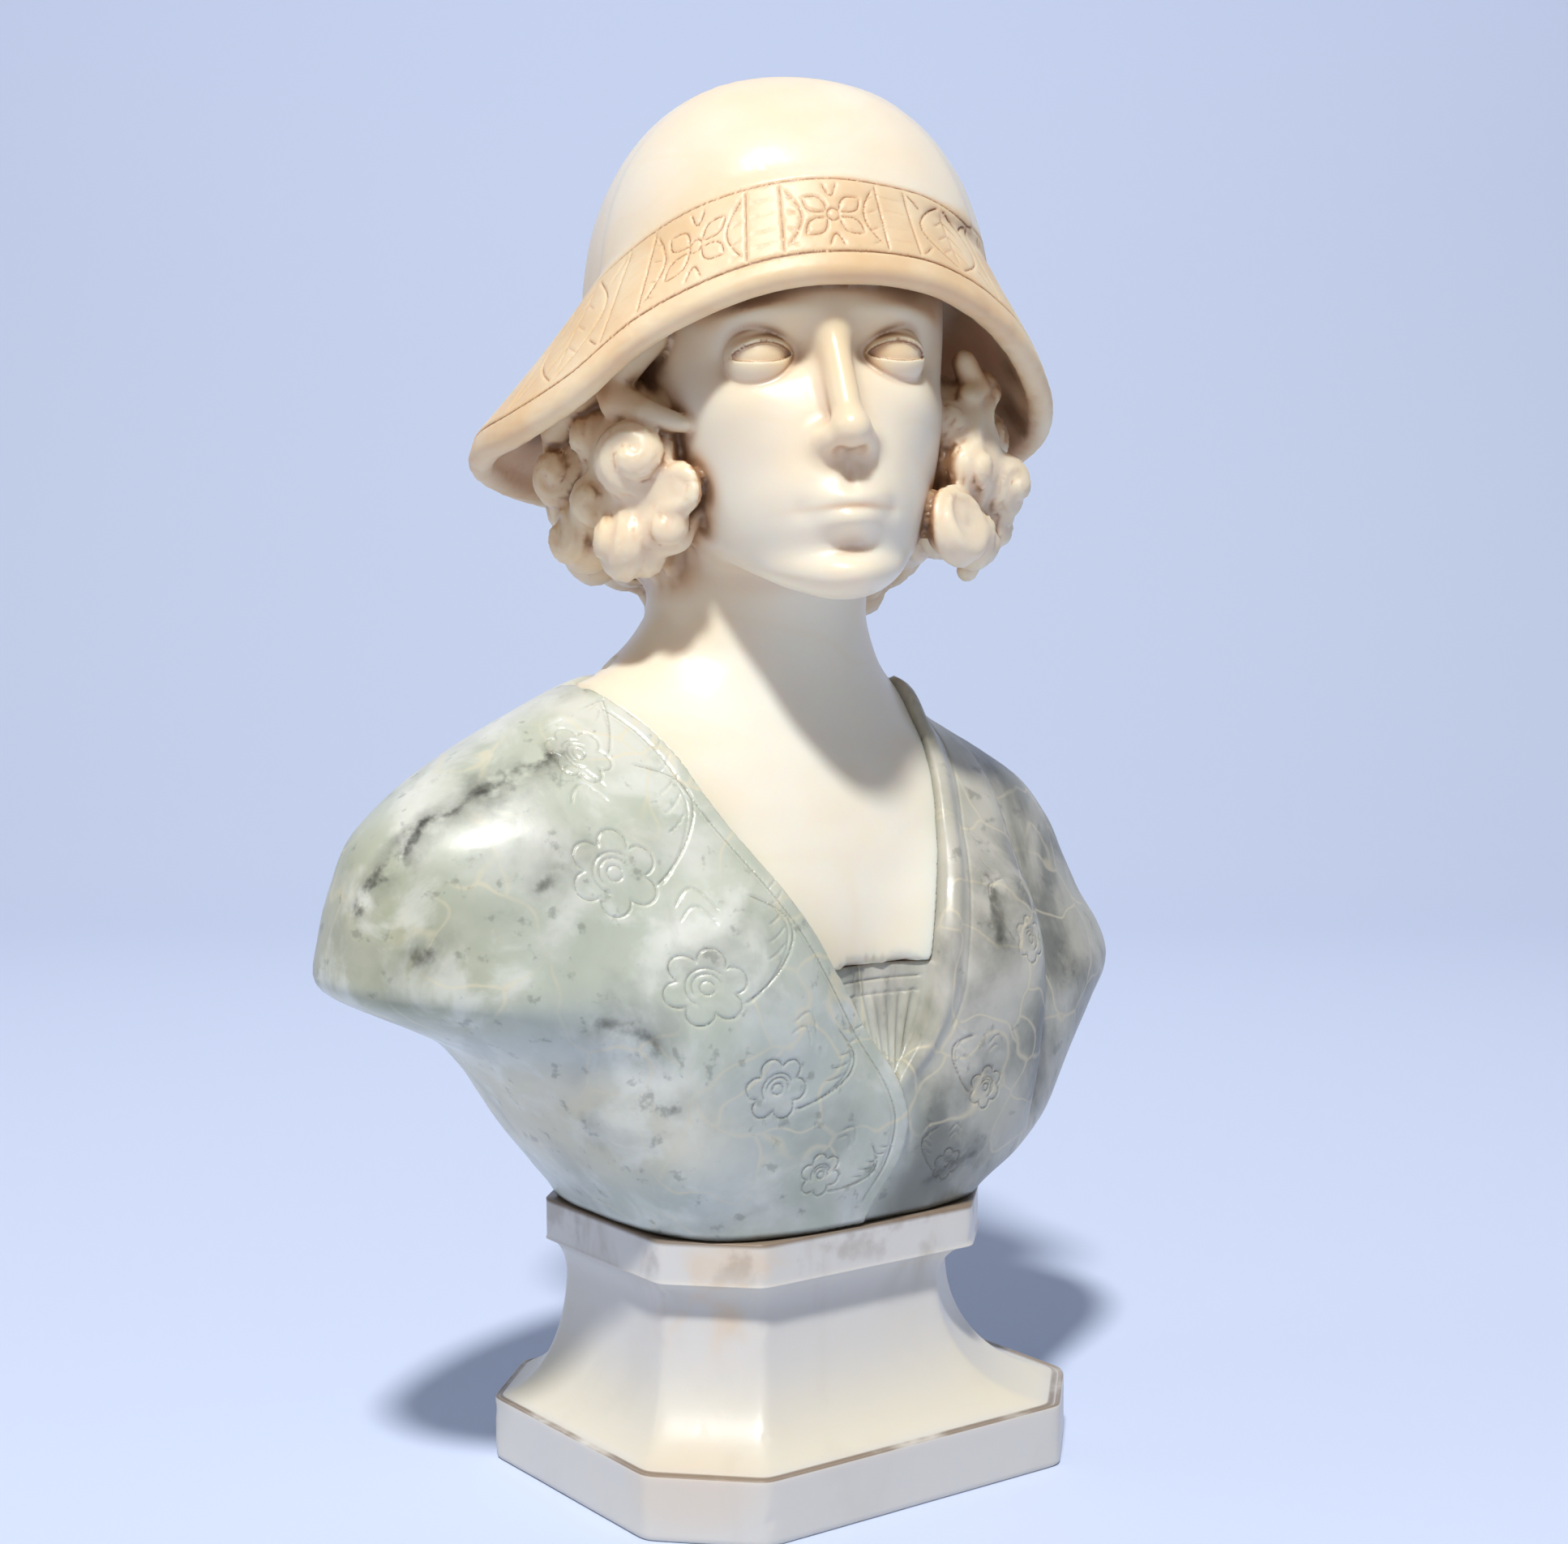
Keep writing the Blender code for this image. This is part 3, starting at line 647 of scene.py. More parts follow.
@dataclass
class Torso(Figure):
    """The draped shoulders, with crossed lapels over a gathered chemise."""

    name: str = "torso"
    low: Place = (-1.15, -0.62, -0.05)
    high: Place = (1.1, 0.60, 1.26)
    pitch: float = 0.021
    coarse: float = 0.03
    top: float = 1.17
    edge_round: float = 0.006
    arm_line: float = 0.47
    # A flower in each row: height, distance from the lapel's edge, turn, size and side.
    sprays: tuple[tuple[float, float, float, float, int], ...] = (
        (1.10, 0.105, 0.35, 0.110, -1), (0.90, 0.160, 0.10, 0.170, -1), (0.655, 0.160, -0.05, 0.155, -1),
        (0.40, 0.150, -0.40, 0.135, -1), (0.17, 0.120, -0.6, 0.095, -1),
        (0.66, 0.18, 0.3, 0.100, 1), (0.34, 0.17, 0.2, 0.095, 1), (0.16, 0.16, 0.1, 0.075, 1),
    )

    def drapery(self, p: Array) -> Array:
        """The cloth: the left front under the right one, a rolled lapel, the arm's fold and the collar."""
        x, y, z = p.T
        form = smooth_union(self.body(p), rounded(p, (0, 0.27, 1.02), (0.44, 0.17, 0.19)), 0.08)
        front = step(-y, -0.05, 0.10)
        under = x - curve(z, RIGHT_LAPEL)
        inside = np.minimum(under, curve(z, LEFT_LAPEL) - x)
        form = form + 0.012 * step(under, -0.004, 0.004) * front * step(-z, -1.15, -1.0)
        form = form + 0.024 * step(inside, -0.003, 0.005) * front * step(-z, -0.75, -0.7)
        form = form + self.gathers(x, z) * step(inside, 0.0, 0.02) * front
        roll = (x - curve(z, LEFT_LAPEL) - 0.028) / 0.024
        form = form - 0.016 * np.exp(-(roll**2)) * front * step(z, 0.28, 0.38)
        fold = self.past_arm(x, z)
        hollow = step(fold, -0.008, 0.008) * np.exp(-np.maximum(fold, 0) / 0.13)
        lip = np.exp(-(((fold + 0.05) / 0.05) ** 2))
        return form + (0.045 * hollow - 0.008 * lip) * front * step(z, 0.12, 0.3) * step(-z, -1.05, -0.85)

    def past_arm(self, x: Array, z: Array) -> Array:
        """How far a point is past the line where the left sleeve meets the front."""
        return x - self.arm_line - 0.03 * (z - 0.5)

    def gathers(self, x: Array, z: Array) -> Array:
        """The chemise's shallow pleats below its hem."""
        fan = (x - 0.005) / np.maximum(z - 0.20, 0.05)
        pleats = 0.0035 * np.cos(fan * 62) * step(-z, -0.52, -0.48)
        return pleats * step(z, 0.30, 0.36)

    def form(self, p: Array) -> Array:
        """The torso with its pocket, standing on the plinth."""
        form = smooth_both(self.drapery(p), p[:, 2] - self.top, 0.03)
        form = smooth_both(form, FIT_GAP - p[:, 2], 0.01)
        return smooth_both(form, FIT_GAP - pocket(p), self.edge_round)

    def wanted(self, p: Array) -> Array:
        """Fine at the strokes and the lapels' edges, coarse on the back."""
        x, y, z = p.T
        lapel = np.minimum(np.abs(x - curve(z, RIGHT_LAPEL)), np.abs(x - curve(z, LEFT_LAPEL)))
        size = 0.007 + 0.25 * np.maximum(lapel - 0.01, 0)
        size = np.minimum(size, 0.008 + 0.3 * np.abs(self.past_arm(x, z)))
        chemise = (opening(x, z) > -0.02) & (z > 0.28) & (z < 0.6)
        size = np.where(chemise, 0.006, size)
        size = np.where((y > -0.02) | (z < 0.03), self.coarse, size)
        size = np.minimum(size, 0.010 + 0.2 * np.abs(p[:, 2]))
        size = np.minimum(size, self.cuts.fineness(p, self.fine_stroke, 0.006, 0.7))
        return np.clip(size, self.fine_stroke, self.coarse)

    def strokes(self) -> Strokes:
        """The border lines along the lapels, and the flowers and tendrils worked beside them."""
        cuts = Strokes()
        heights = np.linspace(0.06, 1.12, 60)
        right = curve(heights, RIGHT_LAPEL)
        for offset, depth in ((0.032, 0.0042), (0.040, 0.0020)):
            cuts.add(self.front(right - offset * 1.2, heights), 0.0028, depth)
        heights = np.linspace(0.42, 1.10, 40)
        cuts.add(self.front(curve(heights, LEFT_LAPEL) + 0.075, heights), 0.003, 0.003)
        self.chemise_lines(cuts)
        for row in self.sprays:
            self.spray(cuts, *row)
        return cuts

    def front(self, x: Array, z: Array) -> Array:
        """Points on the drapery's front at given places across and heights."""
        points = np.stack([x, np.full(len(x), -0.55), z], 1)
        for _ in range(12):
            points[:, 1] += 0.8 * np.clip(self.drapery(points), -0.05, 0.05)
        return points

    def chemise_lines(self, cuts: Strokes) -> None:
        """The ribbon with its slot along the chemise's hem."""
        for height, depth in ((0.530, 0.004), (0.500, 0.003)):
            low, high = curve(height, RIGHT_LAPEL) + 0.01, curve(height, LEFT_LAPEL) - 0.012
            x = np.linspace(float(low), float(high), 20)
            cuts.add(self.front(x, height + 0.012 * (x - low)), 0.0028, depth)
        for x in (-0.052, -0.028):
            z = np.linspace(0.490, 0.555, 8)
            cuts.add(self.front(np.full(8, x), z), 0.0024, 0.003)

    def spray(self, cuts: Strokes, height: float, out: float, turn: float, size: float, side: int) -> None:
        """A flower on a curling stem with small leaves, beside a lapel.

        Args:
            cuts: the strokes to add it to.
            height: where it sits along the lapel.
            out: how far it stands from the lapel's edge.
            turn: how far it is turned, in radians.
            size: its length.
            side: -1 on the right front, 1 on the left.
        """
        lapel = RIGHT_LAPEL if side < 0 else LEFT_LAPEL
        centre = np.array([float(curve(height, lapel)) + side * out * 1.25, height])
        cos, sin = math.cos(turn), math.sin(turn)

        def draw(u: Array, v: Array, width: float, depth: float) -> None:
            """Cuts one line given in the spray's own plane."""
            x = centre[0] - side * size * (cos * u - sin * v)
            z = centre[1] + size * (sin * u + cos * v)
            cuts.add(self.front(x, z), width, depth)

        t = np.linspace(0, 1, 24)
        sweep = 3.9 * t
        for reach, depth in ((0.62, 0.0042), (0.52, 0.003)):
            u = 0.35 + reach * np.sin(sweep) * (1 - 0.35 * t)
            draw(u, 0.55 - 1.15 * t + 0.30 * np.cos(sweep) * t, 0.0026, depth)
        flower = (-0.38, -0.62)
        for petal in range(6):
            angle = 2 * math.pi * petal / 6 + 0.3
            arc = np.linspace(-1.9, 1.9, 12)
            u = flower[0] + 0.34 * math.cos(angle) + 0.17 * np.cos(arc + angle)
            v = flower[1] + 0.34 * math.sin(angle) + 0.17 * np.sin(arc + angle)
            draw(u, v, 0.0024, 0.0040)
        rings = [(0.09, np.linspace(0, 2 * math.pi, 16), 0.0038)]
        rings += [(reach, start + 3.6 * t, 0.0036) for reach, start in ((0.18, 0.2), (0.25, 0.7))]
        for reach, bend, depth in rings:
            draw(flower[0] + reach * np.cos(bend), flower[1] + reach * np.sin(bend), 0.0024, depth)
        for leaf in range(5):
            s = np.linspace(0, 1, 8)
            draw(0.62 - 0.05 * leaf + 0.30 * s, 0.62 - 0.22 * leaf + 0.10 * s + 0.10 * s * s, 0.0022, 0.0030)
        s = np.linspace(0, 1, 10)
        draw(-0.1 - 0.5 * s, 0.35 + 0.28 * np.sin(3 * s), 0.0022, 0.0028)
        draw(-0.15 - 0.42 * s, 0.18 + 0.22 * np.sin(3 * s), 0.0022, 0.0026)

    def zone(self, p: Array) -> Array:
        """How grey the stone is towards the figure's left side: partly its own tone, partly painted shade on
        the side turned from the key lamp.
        """
        x, y, z = p.T
        return step(x - curve(z, RIGHT_LAPEL) * 0.9, -0.02, 0.10)


class Lock(Enum):
    """How a lock of hair lies."""

    ROLLED = 0
    OPEN = 1


class Panel(Enum):
    """What one panel of the engraved band shows."""

    FLOWER = 0
    LEAVES = 1


@dataclass
class Head(Figure):
    """The head in its cap, with curls, neck and bare chest, from one stone."""

    name: str = "head"
    low: Place = (-0.80, -0.66, 0.52)
    high: Place = (0.80, 0.76, 2.58)
    pitch: float = 0.0219
    scale: float = 1.05
    turn: float = math.radians(-22)
    lift: float = math.radians(7)
    lean: float = math.radians(-2)
    centre: Place = (0.03, -0.035, 1.79)
    face_fronts: Knots = (
        (-0.58, 0.22), (-0.5, 0.375), (-0.46, 0.425), (-0.43, 0.437), (-0.385, 0.420), (-0.335, 0.434),
        (-0.28, 0.440), (-0.2, 0.428), (-0.12, 0.414), (0, 0.392), (0.05, 0.406), (0.09, 0.423),
        (0.16, 0.425), (0.25, 0.41), (0.35, 0.37), (0.45, 0.29),
    )
    face_widths: Knots = (
        (-0.58, 0.06), (-0.5, 0.13), (-0.45, 0.172), (-0.38, 0.215), (-0.3, 0.252), (-0.2, 0.285),
        (-0.1, 0.305), (0, 0.312), (0.1, 0.318), (0.2, 0.325), (0.3, 0.31), (0.45, 0.25),
    )
    fine_stroke: float = 0.0045
    fine_eyes: float = 0.0042
    fine_mouth: float = 0.0055
    fine_face: float = 0.0118
    front_locks: float = 0.0130
    back_locks: float = 0.0190
    plain: float = 0.026
    # The face's planes in rows: rise, place beside the middle and up, spread both ways.
    planes: tuple[tuple[float, Spot, Spot], ...] = (
        (0.012, (0.19, -0.08), (0.07, 0.06)), (-0.008, (0.18, -0.23), (0.06, 0.07)),
        (-0.046, (0.132, 0.006), (0.062, 0.040)), (-0.024, (0.065, 0.012), (0.026, 0.036)),
        (0.014, (0.13, 0.080), (0.085, 0.022)), (0.012, (0, -0.29), (0.085, 0.06)),
        (0.010, (0, -0.445), (0.05, 0.035)), (-0.008, (0, -0.382), (0.06, 0.016)),
        (-0.005, (0.092, -0.309), (0.018, 0.018)),
    )
    eye: Place = (0.137, -0.325, 0.005)
    eyeball: float = 0.058
    eyelid: float = 0.067
    mouth: float = -0.309
    band_tops: Knots = (
        (-180, 0.05), (-150, 0.06), (-120, 0.09), (-90, 0.155), (-60, 0.235), (-30, 0.312), (0, 0.342),
        (30, 0.318), (60, 0.275), (90, 0.20), (120, 0.12), (150, 0.07), (180, 0.05),
    )
    band_feet: Knots = (
        (-180, -0.13), (-150, -0.115), (-120, -0.088), (-90, -0.075), (-75, -0.06), (-60, -0.012),
        (-45, 0.075), (-30, 0.132), (0, 0.176), (30, 0.152), (45, 0.105), (60, 0.04), (75, -0.025),
        (90, -0.065), (120, -0.10), (150, -0.12), (180, -0.13),
    )
    band_top_reach: Knots = (
        (-180, 0.475), (-135, 0.465), (-90, 0.445), (-45, 0.44), (0, 0.455), (45, 0.44), (90, 0.435),
        (135, 0.455), (180, 0.475),
    )
    band_foot_reach: Knots = (
        (-180, 0.58), (-150, 0.61), (-120, 0.65), (-90, 0.645), (-60, 0.575), (-30, 0.51), (0, 0.500),
        (30, 0.505), (60, 0.54), (90, 0.575), (120, 0.585), (150, 0.58), (180, 0.58),
    )
    cap_middle: float = 0.03
    panels: int = 11
    bar: float = 4.2
    plain_back: float = 120
    # A lock in each row: way round in degrees, height, reach from the cap's middle, radius, Lock, roll.
    curls: tuple[tuple[float, ...], ...] = (
        (-62, -0.160, 0.425, 0.082, 0, 0.4), (-98, -0.150, 0.470, 0.076, 0, 2.9),
        (-82, -0.09, 0.43, 0.056, 0, 1.2), (-80, -0.227, 0.435, 0.064, 0, 4.0),
        (-92, -0.285, 0.450, 0.074, 0, 5.1), (-68, -0.325, 0.415, 0.076, 0, 2.0),
        (-48, -0.232, 0.400, 0.056, 1, 3.3), (-55, -0.305, 0.390, 0.052, 0, 5.5),
        (-112, -0.09, 0.46, 0.064, 0, 3.7), (72, -0.022, 0.43, 0.046, 0, 0.7),
        (71, -0.088, 0.43, 0.064, 1, 2.4), (56, -0.200, 0.405, 0.058, 0, 4.4),
        (72, -0.222, 0.45, 0.074, 0, 1.1), (76, -0.300, 0.43, 0.056, 0, 3.6),
        (45, -0.318, 0.400, 0.088, 1, 5.0), (60, -0.345, 0.400, 0.060, 0, 0.1),
        (56, -0.105, 0.37, 0.048, 0, 2.2), (88, -0.10, 0.44, 0.068, 0, 4.8),
        (93, -0.22, 0.44, 0.074, 0, 0.9), (88, -0.315, 0.41, 0.066, 0, 3.1),
        (-117, -0.200, 0.46, 0.080, 0, 1.9), (109, -0.12, 0.44, 0.072, 0, 5.2),
        (-112, -0.295, 0.43, 0.072, 0, 0.3), (112, -0.26, 0.43, 0.080, 0, 2.7),
        (-136, -0.16, 0.43, 0.080, 0, 4.5), (131, -0.17, 0.43, 0.080, 0, 0.6),
        (-134, -0.29, 0.42, 0.080, 0, 2.3), (133, -0.30, 0.42, 0.080, 0, 5.8),
        (-157, -0.18, 0.43, 0.082, 0, 1.0), (154, -0.19, 0.43, 0.080, 0, 3.5),
        (-157, -0.31, 0.42, 0.080, 0, 5.4), (155, -0.32, 0.42, 0.080, 0, 0.8),
        (178, -0.21, 0.43, 0.080, 0, 1.7), (178, -0.34, 0.42, 0.080, 0, 3.8),
        (-168, -0.40, 0.37, 0.062, 0, 2.6), (165, -0.40, 0.37, 0.062, 0, 4.9),
        (-145, -0.375, 0.38, 0.062, 0, 3.0), (142, -0.38, 0.38, 0.062, 0, 4.1),
    )
    # A run of hair in each row, as (way round, height, reach, radius) places.
    ribbons: tuple[tuple[tuple[float, float, float, float], ...], ...] = (
        ((-54, 0.085, 0.385, 0.034), (-62, 0.045, 0.410, 0.038), (-69, 0.005, 0.420, 0.040),
         (-66, -0.040, 0.420, 0.038), (-57, -0.078, 0.405, 0.032), (-45, -0.106, 0.378, 0.016)),
        ((-70, 0.045, 0.40, 0.042), (-82, 0.0, 0.445, 0.044), (-95, -0.05, 0.475, 0.040),
         (-102, -0.085, 0.48, 0.030)),
        ((62, 0.03, 0.395, 0.026), (66, -0.02, 0.41, 0.030), (60, -0.05, 0.40, 0.026)),
        ((66, -0.13, 0.41, 0.034), (70, -0.17, 0.42, 0.034), (66, -0.24, 0.41, 0.032)),
    )

    def face(self, q: Array) -> Array:
        """The face's mask, from its outline and the relief of its planes."""
        x, y, z = q.T
        u = np.abs(x)
        depth = np.where(y < 0, curve(z, self.face_fronts), 0.42)
        form = section(x, y, curve(z, self.face_widths), depth, 2.2)
        relief = sum(rise * bump(u, z, place, spread) for rise, place, spread in self.planes)
        return form - relief * (y < 0)

    def lips(self, q: Array) -> Array:
        """Two soft forms that follow the face's curve and meet at the line of the mouth."""
        x = q[:, 0]
        bent = np.stack([x, q[:, 1] - 3.4 * x**2, q[:, 2] - 0.5 * x**2], 1)
        upper = rounded(bent, (0, -0.418, self.mouth + 0.015), (0.078, 0.046, 0.0230))
        lower = rounded(bent, (0, -0.415, self.mouth - 0.022), (0.062, 0.050, 0.0270))
        dip = 0.006 * bump(x, q[:, 2], (0, self.mouth + 0.036), (0.014, 0.014))
        return smooth_union(upper + dip, lower, 0.0030)

    def nose(self, q: Array) -> Array:
        """The nose: a ridge, a tip and two wings with their nostrils."""
        form = taper(q, (0, -0.384, 0.055), (0, -0.468, -0.150), 0.026, 0.031)
        form = smooth_union(form, rounded(q, (0, -0.476, -0.168), (0.034, 0.036, 0.029)), 0.035)
        u = mirrored(q)
        form = smooth_union(form, rounded(u, (0.038, -0.438, -0.180), (0.023, 0.036, 0.025)), 0.024)
        return smooth_both(form, -rounded(u, (0.023, -0.462, -0.209), (0.012, 0.022, 0.013)), 0.008)

    def skull(self, q: Array) -> Array:
        """The head without hair or cap."""
        x, y, z = q.T
        under = 0.43 * (y + 0.40) - 0.903 * (z + 0.50)
        form = smooth_both(smooth_both(self.face(q), under, 0.07), z - 0.36, 0.05)
        form = smooth_union(form, self.nose(q), 0.044)
        form = smooth_union(form, self.lips(q), 0.026)
        form = form + 0.009 * bump(x, z, (0, -0.246), (0.011, 0.020)) * (y < 0)
        u = mirrored(q)
        ex, _, ez = (u - self.eye).T
        reach = np.clip(1 - (ex / 0.064) ** 2, 0, 1)
        almond = np.minimum(0.021 * reach**0.75 - (ez + 0.04 * ex), 0.018 * reach**0.9 + (ez + 0.04 * ex))
        ball = rounded(u, self.eye, (self.eyeball,) * 3)
        lid = smooth_both(rounded(u, self.eye, (self.eyelid,) * 3), almond, 0.004)
        form = smooth_union(form, lid, 0.008)
        fold = (ez + 0.04 * ex - 0.026 - 0.014 * reach) / 0.008
        form = form + 0.0050 * np.exp(-(fold**2)) * reach * (q[:, 1] < -0.3)
        form = np.minimum(form, ball)
        return smooth_union(form, rounded(q, (0, 0.05, 0.12), (0.32, 0.40, 0.36)), 0.06)

    def round_cap(self, q: Array) -> tuple[Array, Array]:
        """The way round the cap from the front in degrees, and the reach from its middle."""
        x, y = q[:, 0], q[:, 1] - self.cap_middle
        return np.degrees(np.arctan2(x, -y)), np.hypot(x, y)

    def cap(self, q: Array) -> Array:
        """The cap: a dome, and a brim whose cut follows the way round."""
        way, reach = self.round_cap(q)
        z = q[:, 2]
        top, top_reach = curve(way, self.band_tops), curve(way, self.band_top_reach)
        foot, foot_reach = curve(way, self.band_feet), curve(way, self.band_foot_reach)
        dome = rounded(q, (0.02, 0.035, 0.13), (0.432, 0.462, 0.535), 2.3)
        fore = q @ np.array([-0.249, -0.969, 0.0])
        dome = dome + 0.007 * step(-fore, -0.20, -0.165)
        dome = smooth_both(dome, top - 0.025 - z, 0.02)
        r0, z0 = top_reach - 0.025, top - 0.01
        dr, dz = foot_reach - 0.02 - r0, foot - z0
        t = np.clip(((reach - r0) * dr + (z - z0) * dz) / (dr * dr + dz * dz), 0, 1)
        band = np.hypot(reach - r0 - t * dr, z - z0 - t * dz) - 0.026
        hem = np.hypot(reach - foot_reach + 0.012, z - foot + 0.028) - 0.027
        return smooth_union(dome, smooth_union(band, hem, 0.012), 0.02)

    def lock(self, d: Array, size: float, kind: "Lock") -> Array:
        """A lock of hair, rolled up or curled open.

        Args:
            d: points in the lock's own frame, its axis along the third column.
            size: its radius.
            kind: whether it is rolled into a ball or curls round an open middle.

        Returns:
            About the distance to it.
        """
        u, v, w = d.T
        reach, angle = np.hypot(u, v), np.arctan2(v, u)
        if kind is Lock.OPEN:
            thick = size * (0.44 - 0.17 * (angle / math.pi) ** 2)
            flute = 0.035 * size * np.cos(5 * np.arctan2(w, reach - 0.6 * size))
            form = np.hypot(reach - 0.58 * size, w - 0.1 * size * np.cos(angle)) - thick - flute
            middle = np.linalg.norm(d + (0, 0, 0.22 * size), axis=1) - 0.55 * size
            return smooth_union(form, middle, 0.12 * size)
        winding = np.mod(2.6 * np.arctan2(reach, w) / math.pi - angle / (2 * math.pi), 1)
        swell = np.sqrt(np.maximum(1 - (2 * winding - 1) ** 2, 0)) + 0.10 * np.cos(8 * math.pi * winding)
        form = np.linalg.norm(d, axis=1) - size * (0.78 + 0.25 * swell)
        tail_start, tail_end = (0.5 * size, 0, -0.1 * size), (0.4 * size, 1.15 * size, -0.45 * size)
        return smooth_union(form, taper(d, tail_start, tail_end, 0.5 * size, 0.34 * size), 0.12 * size)

    def side(self, way: float, height: float, reach: float) -> Array:
        """A place beside the head, by its way round and its reach from the cap's middle."""
        turn = math.radians(way)
        return np.array([reach * math.sin(turn), self.cap_middle - reach * math.cos(turn), height])

    def hair(self, q: Array) -> Array:
        """The hair: a soft waved mass at each side and the nape, covered in locks."""
        u = mirrored(q)
        mass = rounded(u, (0.330, -0.050, -0.17), (0.105, 0.165, 0.19))
        mass = smooth_union(mass, rounded(u, (0.27, 0.12, -0.16), (0.13, 0.22, 0.20)), 0.06)
        mass = smooth_union(mass, rounded(q, (0, 0.24, -0.20), (0.33, 0.19, 0.22)), 0.08)
        mass = mass + 0.006 * np.sin(34 * q[:, 2] + 9 * np.sin(11 * q[:, 0]) + 7 * np.sin(12 * q[:, 1]))
        for way, height, reach, size, kind, roll in self.curls:
            middle = self.side(way, height, reach - 0.012)
            near = np.flatnonzero(np.abs(q - middle).max(1) < 2.0 * size)
            if len(near):
                turn = Matrix.Rotation(math.radians(way), 3, "Z") @ Matrix.Rotation(math.radians(90), 3, "X")
                tip = (0.3 if kind else 0.9) * math.sin(5 * roll)
                turn = turn @ Matrix.Rotation(tip, 3, "Y") @ Matrix.Rotation(roll, 3, "Z")
                near_lock = self.lock((q[near] - middle) @ np.array(turn), size, Lock(kind))
                mass[near] = smooth_union(mass[near], near_lock, 0.020)
        for ribbon in self.ribbons:
            for start, end in zip(ribbon, ribbon[1:]):
                ends = self.side(*start[:3]), self.side(*end[:3])
                near = np.flatnonzero(np.abs(q - (ends[0] + ends[1]) / 2).max(1) < 0.12)
                if len(near):
                    mass[near] = smooth_union(mass[near], taper(q[near], *ends, start[3], end[3]), 0.006)
        return mass

    def pose(self) -> Array:
        """How the head is turned, as a matrix from its own frame to the figure's."""
        turn = Matrix.Rotation(self.turn, 3, "Z") @ Matrix.Rotation(-self.lift, 3, "X")
        return np.array(turn @ Matrix.Rotation(self.lean, 3, "Y"))

    def own(self, p: Array) -> Array:
        """Figure points in the head's own frame."""
        return (p - np.array(self.centre)) @ self.pose() / self.scale

    def figure(self, q: Array) -> Array:
        """The head's own points in the figure's frame."""
        return q * self.scale @ self.pose().T + np.array(self.centre)

    def form(self, p: Array) -> Array:
        """The whole stone, its chest trimmed to the torso's pocket."""
        q = self.own(p)
        head = smooth_union(self.skull(q), self.hair(q), 0.010)
        chest = self.body(p) + 0.022
        low = p[:, 2] < POCKET_TOP + 0.04
        trimmed = smooth_both(chest, pocket(p), 0.006)
        chest = np.where(low, np.where(p[:, 2] < POCKET_TOP - 0.02, trimmed, np.maximum(chest, -1)), chest)
        return np.minimum(smooth_union(head, chest, 0.06), self.cap(q))

    def wanted(self, p: Array) -> Array:
        """Fine on the face, the locks, the chest's edges and the engraved band."""
        q = self.own(p)
        x, y, z = q.T
        size = np.full(len(p), self.plain)
        face = (y < -0.2) & (z < 0.16) & (z > -0.52) & (np.abs(x) < 0.30)
        size = np.where(face, self.fine_face, size)
        eyes = (np.abs(np.abs(x) - self.eye[0]) < 0.085) & (np.abs(z) < 0.06) & (y < -0.3)
        mouth = (np.abs(x) < 0.12) & (np.abs(z + 0.31) < 0.06) & (y < -0.3)
        nose = (np.abs(x) < 0.08) & (z < -0.08) & (z > -0.24) & (y < -0.4)
        size = np.where(face & (eyes | mouth | nose), np.where(eyes, self.fine_eyes, self.fine_mouth), size)
        edge = np.abs(opening(p[:, 0], p[:, 2])) + 0.5 * (p[:, 1] > 0.0) + 0.5 * (p[:, 2] > POCKET_TOP)
        size = np.minimum(size, 0.006 + 0.5 * np.maximum(edge - 0.012, 0))
        locks = (self.hair(q) < 0.02) & (z < 0.10)
        size = np.where(locks, np.where(y < 0.08, self.front_locks, self.back_locks), size)
        return np.minimum(size, self.cuts.fineness(p, self.fine_stroke, 0.0045, 1.25))

    def band_point(self, way: Array, t: Array) -> Array:
        """Points on the brim's band.

        Args:
            way: the way round from the front, in degrees.
            t: 0 at the band's top edge to 1 at its foot.

        Returns:
            Points in the figure's frame, just outside the band.
        """
        way = np.mod(way + 180, 360) - 180
        reach = curve(way, self.band_top_reach) * (1 - t) + curve(way, self.band_foot_reach) * t
        height = curve(way, self.band_tops) * (1 - t) + (curve(way, self.band_feet) + 0.002) * t
        turn = np.radians(way)
        q = np.stack([reach * np.sin(turn), self.cap_middle - reach * np.cos(turn), height], 1)
        return self.figure(q)

    def strokes(self) -> Strokes:
        """The band's edge lines, and its panels of petals and leaves between plain bars."""
        cuts = Strokes()
        round_way = np.linspace(-180, 180, 240)
        for t, width, depth in ((0.02, 0.0026, 0.0045), (0.98, 0.0032, 0.0055)):
            cuts.add(self.band_point(round_way, np.full(240, t)), width, depth)
        period, bar = 360 / self.panels, self.bar
        for panel in range(self.panels):
            middle = panel * period
            for edge in (-period / 2 + bar, period / 2 - bar):
                t = np.linspace(0.05, 0.95, 12)
                cuts.add(self.band_point(np.full(12, middle + edge), t), 0.0026, 0.0042)
            for share in (0.22, 0.4, 0.62, 0.8):
                way = np.linspace(middle + period / 2 - bar * 0.7, middle + period / 2 + bar * 0.7, 6)
                cuts.add(self.band_point(way, np.full(6, share)), 0.0020, 0.0016)
            if abs((middle + 180) % 360 - 180) < self.plain_back:
                self.panel(cuts, middle, period / 2 - bar, Panel(panel % 2))
        return cuts

    def panel(self, cuts: Strokes, middle: float, half: float, kind: Panel) -> None:
        """One engraved panel.

        Args:
            cuts: the strokes to add to.
            middle: its middle, in degrees round the cap.
            half: half its width, in degrees.
            kind: what it shows.
        """
        s = np.linspace(0, 1, 14)

        def draw(u: Array, v: Array, depth: float = 0.0045) -> None:
            """Cuts one line given in the panel's square."""
            cuts.add(self.band_point(middle + half * u, 0.5 + 0.46 * v), 0.0024, depth)

